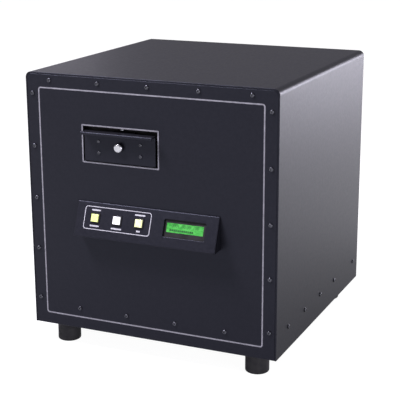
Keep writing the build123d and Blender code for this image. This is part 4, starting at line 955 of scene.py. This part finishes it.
class DEGAUSSER_OT_knob(bpy.types.Operator):
    """Turn the drawer's polished knob"""

    bl_idname = "degausser.knob"
    bl_label = "Drawer knob"

    def execute(self, context):
        low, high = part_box("drawer_knob")
        radius = (high.x - low.x) / 2
        length = high.y - low.y
        head, neck_length = 5.5 * MM, 2.5 * MM
        neck_radius, stud_radius = 4.5 * MM, 2.5 * MM
        crown_share = 0.62
        deselect()
        bpy.ops.mesh.primitive_cylinder_add(
            vertices=72, radius=radius, depth=head, location=(0, 0, -head / 2)
        )
        knob = bpy.context.object
        bpy.ops.object.transform_apply(location=True)
        pick_faces(knob, lambda face: face.normal.z < -STRAIGHT)
        bpy.ops.mesh.inset(thickness=radius - neck_radius)
        push(-neck_length)
        bpy.ops.mesh.inset(thickness=neck_radius - stud_radius)
        push(head + neck_length - length)
        bpy.ops.object.mode_set(mode="OBJECT")
        pick_faces(knob, lambda face: face.normal.z > STRAIGHT)
        bpy.ops.mesh.bevel(offset=head * crown_share, segments=10, profile=0.55, affect="EDGES")
        bpy.ops.object.mode_set(mode="OBJECT")
        axis = middle("drawer_knob")
        settle(knob, (axis.x, low.y, axis.z), FRONT_TURN)
        bpy.ops.object.shade_smooth_by_angle(angle=SMOOTH_ANGLE)
        hand_over(knob, "turned_knob", "drawer", polished_stainless_steel, "polished_steel", "drawer_knob")
        return {"FINISHED"}


class DEGAUSSER_OT_lamps(bpy.types.Operator):
    """Mould the three lamp lenses, two of them on push buttons"""

    bl_idname = "degausser.lamps"
    bl_label = "Lamp lenses"

    def execute(self, context):
        console = context.scene.degausser_console
        row = CONSOLE_FACE / 2 - console.lamp_drop
        lamps = (
            (-1, "start_lens", "start_button", acrylic_lens_green, "lens_green", "start_button_cap"),
            (0, "status_lens", "cabinet", acrylic_lens_white, "lens_white", "status_lamp_lens"),
            (1, "power_lens", "power_button", acrylic_lens_pale, "lens_green", "power_button_cap"),
        )
        for step, name, body, maker, slot, node in lamps:
            height = console.status_height if body == "cabinet" else console.button_height
            lens = moulded_lens(console.lens_side, height)
            spot = console_point(console.lamp_x + step * console.lamp_pitch, row, console.lens_top)
            settle(lens, spot, CONSOLE_TURN)
            hand_over(lens, name, body, maker, slot, node)
        return {"FINISHED"}


class DEGAUSSER_OT_display(bpy.types.Operator):
    """Make the display's lit cell with a row of plain digits and a row of blocks"""

    bl_idname = "degausser.display"
    bl_label = "Display"

    def execute(self, context):
        console = context.scene.degausser_console
        row = CONSOLE_FACE / 2 - console.display_drop
        cell_depth, rim, sink = 5.0 * MM, 0.8 * MM, 0.3 * MM
        cell = rimmed_block(console.view_width, console.view_height, cell_depth, rim, sink)
        bpy.ops.object.mode_set(mode="OBJECT")
        settle(cell, console_point(console.display_x, row, -console.view_depth), CONSOLE_TURN)
        hand_over(cell, "display_lit_cell", "cabinet", display_film, "display_green", "display_cell")

        digit_height, digit_rise, digit_relief = 7.2 * MM, 3.3 * MM, 0.05 * MM
        block_count, block_width, block_height, block_film = 12, 2.8 * MM, 3.6 * MM, 0.1 * MM
        block_pitch, block_drop, first_block = 3.6 * MM, 4.0 * MM, -26.0 * MM
        window = -console.view_depth - sink
        deselect()
        bpy.ops.object.text_add()
        digits = bpy.context.object
        digits.data.body = "0001  00:00  100"
        digits.data.align_x = "CENTER"
        digits.data.align_y = "CENTER"
        digits.data.size = digit_height
        digits.data.extrude = digit_relief
        bpy.ops.object.convert(target="MESH")
        digits = bpy.context.object
        spot = console_point(console.display_x, row + digit_rise, window + digit_relief)
        settle(digits, spot, CONSOLE_TURN)
        segments = [digits]
        for index in range(block_count):
            block = printed_bar(block_width, block_height, block_film)
            right = console.display_x + first_block + index * block_pitch
            settle(block, console_point(right, row - block_drop, window), CONSOLE_TURN)
            segments.append(block)
        hand_over(join(segments), "display_digits", "cabinet", display_segment, "display_green")
        return {"FINISHED"}


class DEGAUSSER_OT_fan(bpy.types.Operator):
    """Mould the fan's rotor with its twisted blades"""

    bl_idname = "degausser.fan"
    bl_label = "Fan rotor"

    def execute(self, context):
        fan = context.scene.degausser_fan
        rounding, bite = 1.5 * MM, 1.5 * MM
        deselect()
        bpy.ops.mesh.primitive_cylinder_add(vertices=64, radius=fan.hub_radius, depth=fan.hub_depth)
        hub = bpy.context.object
        pick_faces(hub, lambda face: abs(face.normal.z) > STRAIGHT)
        bpy.ops.mesh.bevel(offset=rounding, segments=4, affect="EDGES")
        bpy.ops.object.mode_set(mode="OBJECT")
        pieces = [hub]
        for index in range(fan.blades):
            turn = 2 * math.pi * index / fan.blades
            pieces.append(fan_blade(fan, fan.hub_radius - bite, turn))
        rotor = join(pieces)
        settle(rotor, middle("fan_rotor"), REAR_TURN)
        bpy.ops.object.shade_smooth_by_angle(angle=SMOOTH_ANGLE)
        hand_over(rotor, "fan_blades", "fan", moulded_abs, "black_plastic", "fan_rotor")
        return {"FINISHED"}


def seen(tree, gloss_share=1.0, fade=None):
    """1 for rays to the camera and through glass, and the given share or fade for rays of gloss."""
    path = add_node(tree, "ShaderNodeLightPath")
    direct = add_node(
        tree,
        "ShaderNodeMath",
        {"operation": "MAXIMUM"},
        links={0: path.outputs["Is Camera Ray"], 1: path.outputs["Is Transmission Ray"]},
    )
    gloss = add_node(
        tree,
        "ShaderNodeMath",
        {"operation": "MULTIPLY"},
        {1: gloss_share},
        {0: path.outputs["Is Glossy Ray"]},
    )
    if fade:
        tree.links.new(fade, gloss.inputs[1])
    either = add_node(
        tree,
        "ShaderNodeMath",
        {"operation": "MAXIMUM"},
        links={0: direct.outputs[0], 1: gloss.outputs[0]},
    )
    return either.outputs[0]


def seamless_paper(stage):
    # Pale seamless paper: white to the camera, and it keeps the object's soft shadow.
    glow_strength, glow_share = 1.2, 0.8
    material = bpy.data.materials.new("seamless_paper")
    material.use_nodes = True
    tree = material.node_tree
    tree.nodes.clear()
    paper = add_node(tree, "ShaderNodeBsdfDiffuse", values={"Color": rgba("9a9a9e")})
    pale = add_node(tree, "ShaderNodeBsdfDiffuse", values={"Color": rgba("f4f4f6")})
    glow = add_node(tree, "ShaderNodeEmission", values={"Color": (1, 1, 1, 1), "Strength": glow_strength})
    both = add_node(
        tree, "ShaderNodeMixShader", values={0: glow_share}, links={1: pale.outputs[0], 2: glow.outputs[0]}
    )
    place = add_node(tree, "ShaderNodeTexCoord").outputs["Object"]
    away = add_node(tree, "ShaderNodeVectorMath", {"operation": "LENGTH"}, links={0: place})
    # Painted shade: this fade by distance makes the paper dimmer in reflections near the cabinet, in place
    # of the shade round it. The paper's own lit shading, with the cabinet's real shadow, shows more there.
    fade = add_node(
        tree,
        "ShaderNodeMapRange",
        values={
            "From Min": stage.floor_reach[0],
            "From Max": stage.floor_reach[1],
            "To Min": stage.floor_near,
            "To Max": stage.floor_far,
        },
        links={"Value": away.outputs["Value"]},
    ).outputs[0]
    shown = add_node(
        tree,
        "ShaderNodeMixShader",
        links={0: seen(tree, fade=fade), 1: paper.outputs[0], 2: both.outputs[0]},
    )
    add_node(tree, "ShaderNodeOutputMaterial", links={"Surface": shown.outputs[0]})
    return material


def studio_surroundings(stage):
    """World that is white to the camera, dim and cool to the rest and a little whiter in gloss."""
    world = bpy.data.worlds.new("studio_surroundings")
    world.use_nodes = True
    tree = world.node_tree
    tree.nodes.clear()
    cast = (*stage.cast, 1.0)
    plain = add_node(tree, "ShaderNodeBackground", values={"Color": cast, "Strength": stage.ambient})
    white = add_node(tree, "ShaderNodeBackground", values={"Color": (1, 1, 1, 1), "Strength": 1.0})
    mixed = add_node(
        tree,
        "ShaderNodeMixShader",
        links={0: seen(tree, stage.gloss_share), 1: plain.outputs[0], 2: white.outputs[0]},
    )
    add_node(tree, "ShaderNodeOutputWorld", links={"Surface": mixed.outputs[0]})
    return world


def studio_lamp(name, place, aim, width, height, power, cast):
    """Rectangular lamp that faces a point and isn't seen by the camera."""
    data = bpy.data.lights.new(name, "AREA")
    data.shape = "RECTANGLE"
    data.size = width
    data.size_y = height
    data.energy = power
    data.color = cast
    lamp = bpy.data.objects.new(name, data)
    bpy.context.scene.collection.objects.link(lamp)
    lamp.location = place
    lamp.rotation_euler = (Vector(aim) - Vector(place)).to_track_quat("-Z", "Y").to_euler()
    lamp.visible_camera = False


def photograph_camera(stage):
    """Camera that stands where the photograph was taken."""
    data = bpy.data.cameras.new("photograph_camera")
    data.sensor_width = 36.0
    data.lens = stage.focal_pixels / IMAGE_SIDE * data.sensor_width
    camera = bpy.data.objects.new("photograph_camera", data)
    bpy.context.scene.collection.objects.link(camera)
    camera.location = stage.camera_place
    forward = Vector(
        (
            -math.sin(stage.camera_azimuth) * math.cos(stage.camera_drop),
            math.cos(stage.camera_azimuth) * math.cos(stage.camera_drop),
            -math.sin(stage.camera_drop),
        )
    )
    camera.rotation_euler = forward.to_track_quat("-Z", "Y").to_euler()
    camera.rotation_euler.rotate_axis("Z", stage.camera_roll)
    return camera


class DEGAUSSER_OT_stage(bpy.types.Operator):
    """Set the floor, the surroundings, the lamps and the camera"""

    bl_idname = "degausser.stage"
    bl_label = "Stage"

    def execute(self, context):
        stage = context.scene.degausser_stage
        floor_side = 24.0
        context.scene.view_settings.view_transform = "Standard"
        deselect()
        bpy.ops.mesh.primitive_plane_add(size=floor_side, location=(0, 0, 0))
        floor = context.object
        floor.name = "studio_floor"
        floor.data.materials.append(seamless_paper(stage))
        context.scene.world = studio_surroundings(stage)
        for name, place, aim, width, height in STUDIO_LAMPS:
            power = getattr(stage, name + "_power")
            studio_lamp(name + "_lamp", place, aim, width, height, power, stage.cast)
        context.scene.camera = photograph_camera(stage)
        return {"FINISHED"}


class DEGAUSSER_PT_panel(bpy.types.Panel):
    """Sizes, colours and steps of the degausser's looks"""

    bl_label = "Degausser"
    bl_idname = "DEGAUSSER_PT_panel"
    bl_space_type = "VIEW_3D"
    bl_region_type = "UI"
    bl_category = "Degausser"

    def draw(self, context):
        for operator in OPERATORS:
            self.layout.operator(operator.bl_idname)
        for name, group in SETTINGS:
            box = self.layout.box()
            box.label(text=name.replace("degausser_", "").capitalize())
            for key in group.__annotations__:
                box.prop(getattr(context.scene, name), key)


SETTINGS = (
    ("degausser_paint", DegausserPaintSettings),
    ("degausser_print", DegausserPrintSettings),
    ("degausser_console", DegausserConsoleSettings),
    ("degausser_fan", DegausserFanSettings),
    ("degausser_stage", DegausserStageSettings),
)
OPERATORS = (
    DEGAUSSER_OT_shell,
    DEGAUSSER_OT_inside,
    DEGAUSSER_OT_print,
    DEGAUSSER_OT_knob,
    DEGAUSSER_OT_lamps,
    DEGAUSSER_OT_display,
    DEGAUSSER_OT_fan,
    DEGAUSSER_OT_stage,
)


def register():
    for name, group in SETTINGS:
        bpy.utils.register_class(group)
        setattr(bpy.types.Scene, name, bpy.props.PointerProperty(type=group))
    for operator in OPERATORS:
        bpy.utils.register_class(operator)
    bpy.utils.register_class(DEGAUSSER_PT_panel)


def unregister():
    bpy.utils.unregister_class(DEGAUSSER_PT_panel)
    for operator in reversed(OPERATORS):
        bpy.utils.unregister_class(operator)
    for name, group in reversed(SETTINGS):
        delattr(bpy.types.Scene, name)
        bpy.utils.unregister_class(group)


def main():
    register()
    bpy.ops.degausser.shell()
    bpy.ops.degausser.inside()
    bpy.ops.degausser.print()
    bpy.ops.degausser.knob()
    bpy.ops.degausser.lamps()
    bpy.ops.degausser.display()
    bpy.ops.degausser.fan()
    bpy.ops.degausser.stage()


if __name__ == "__main__":
    main()
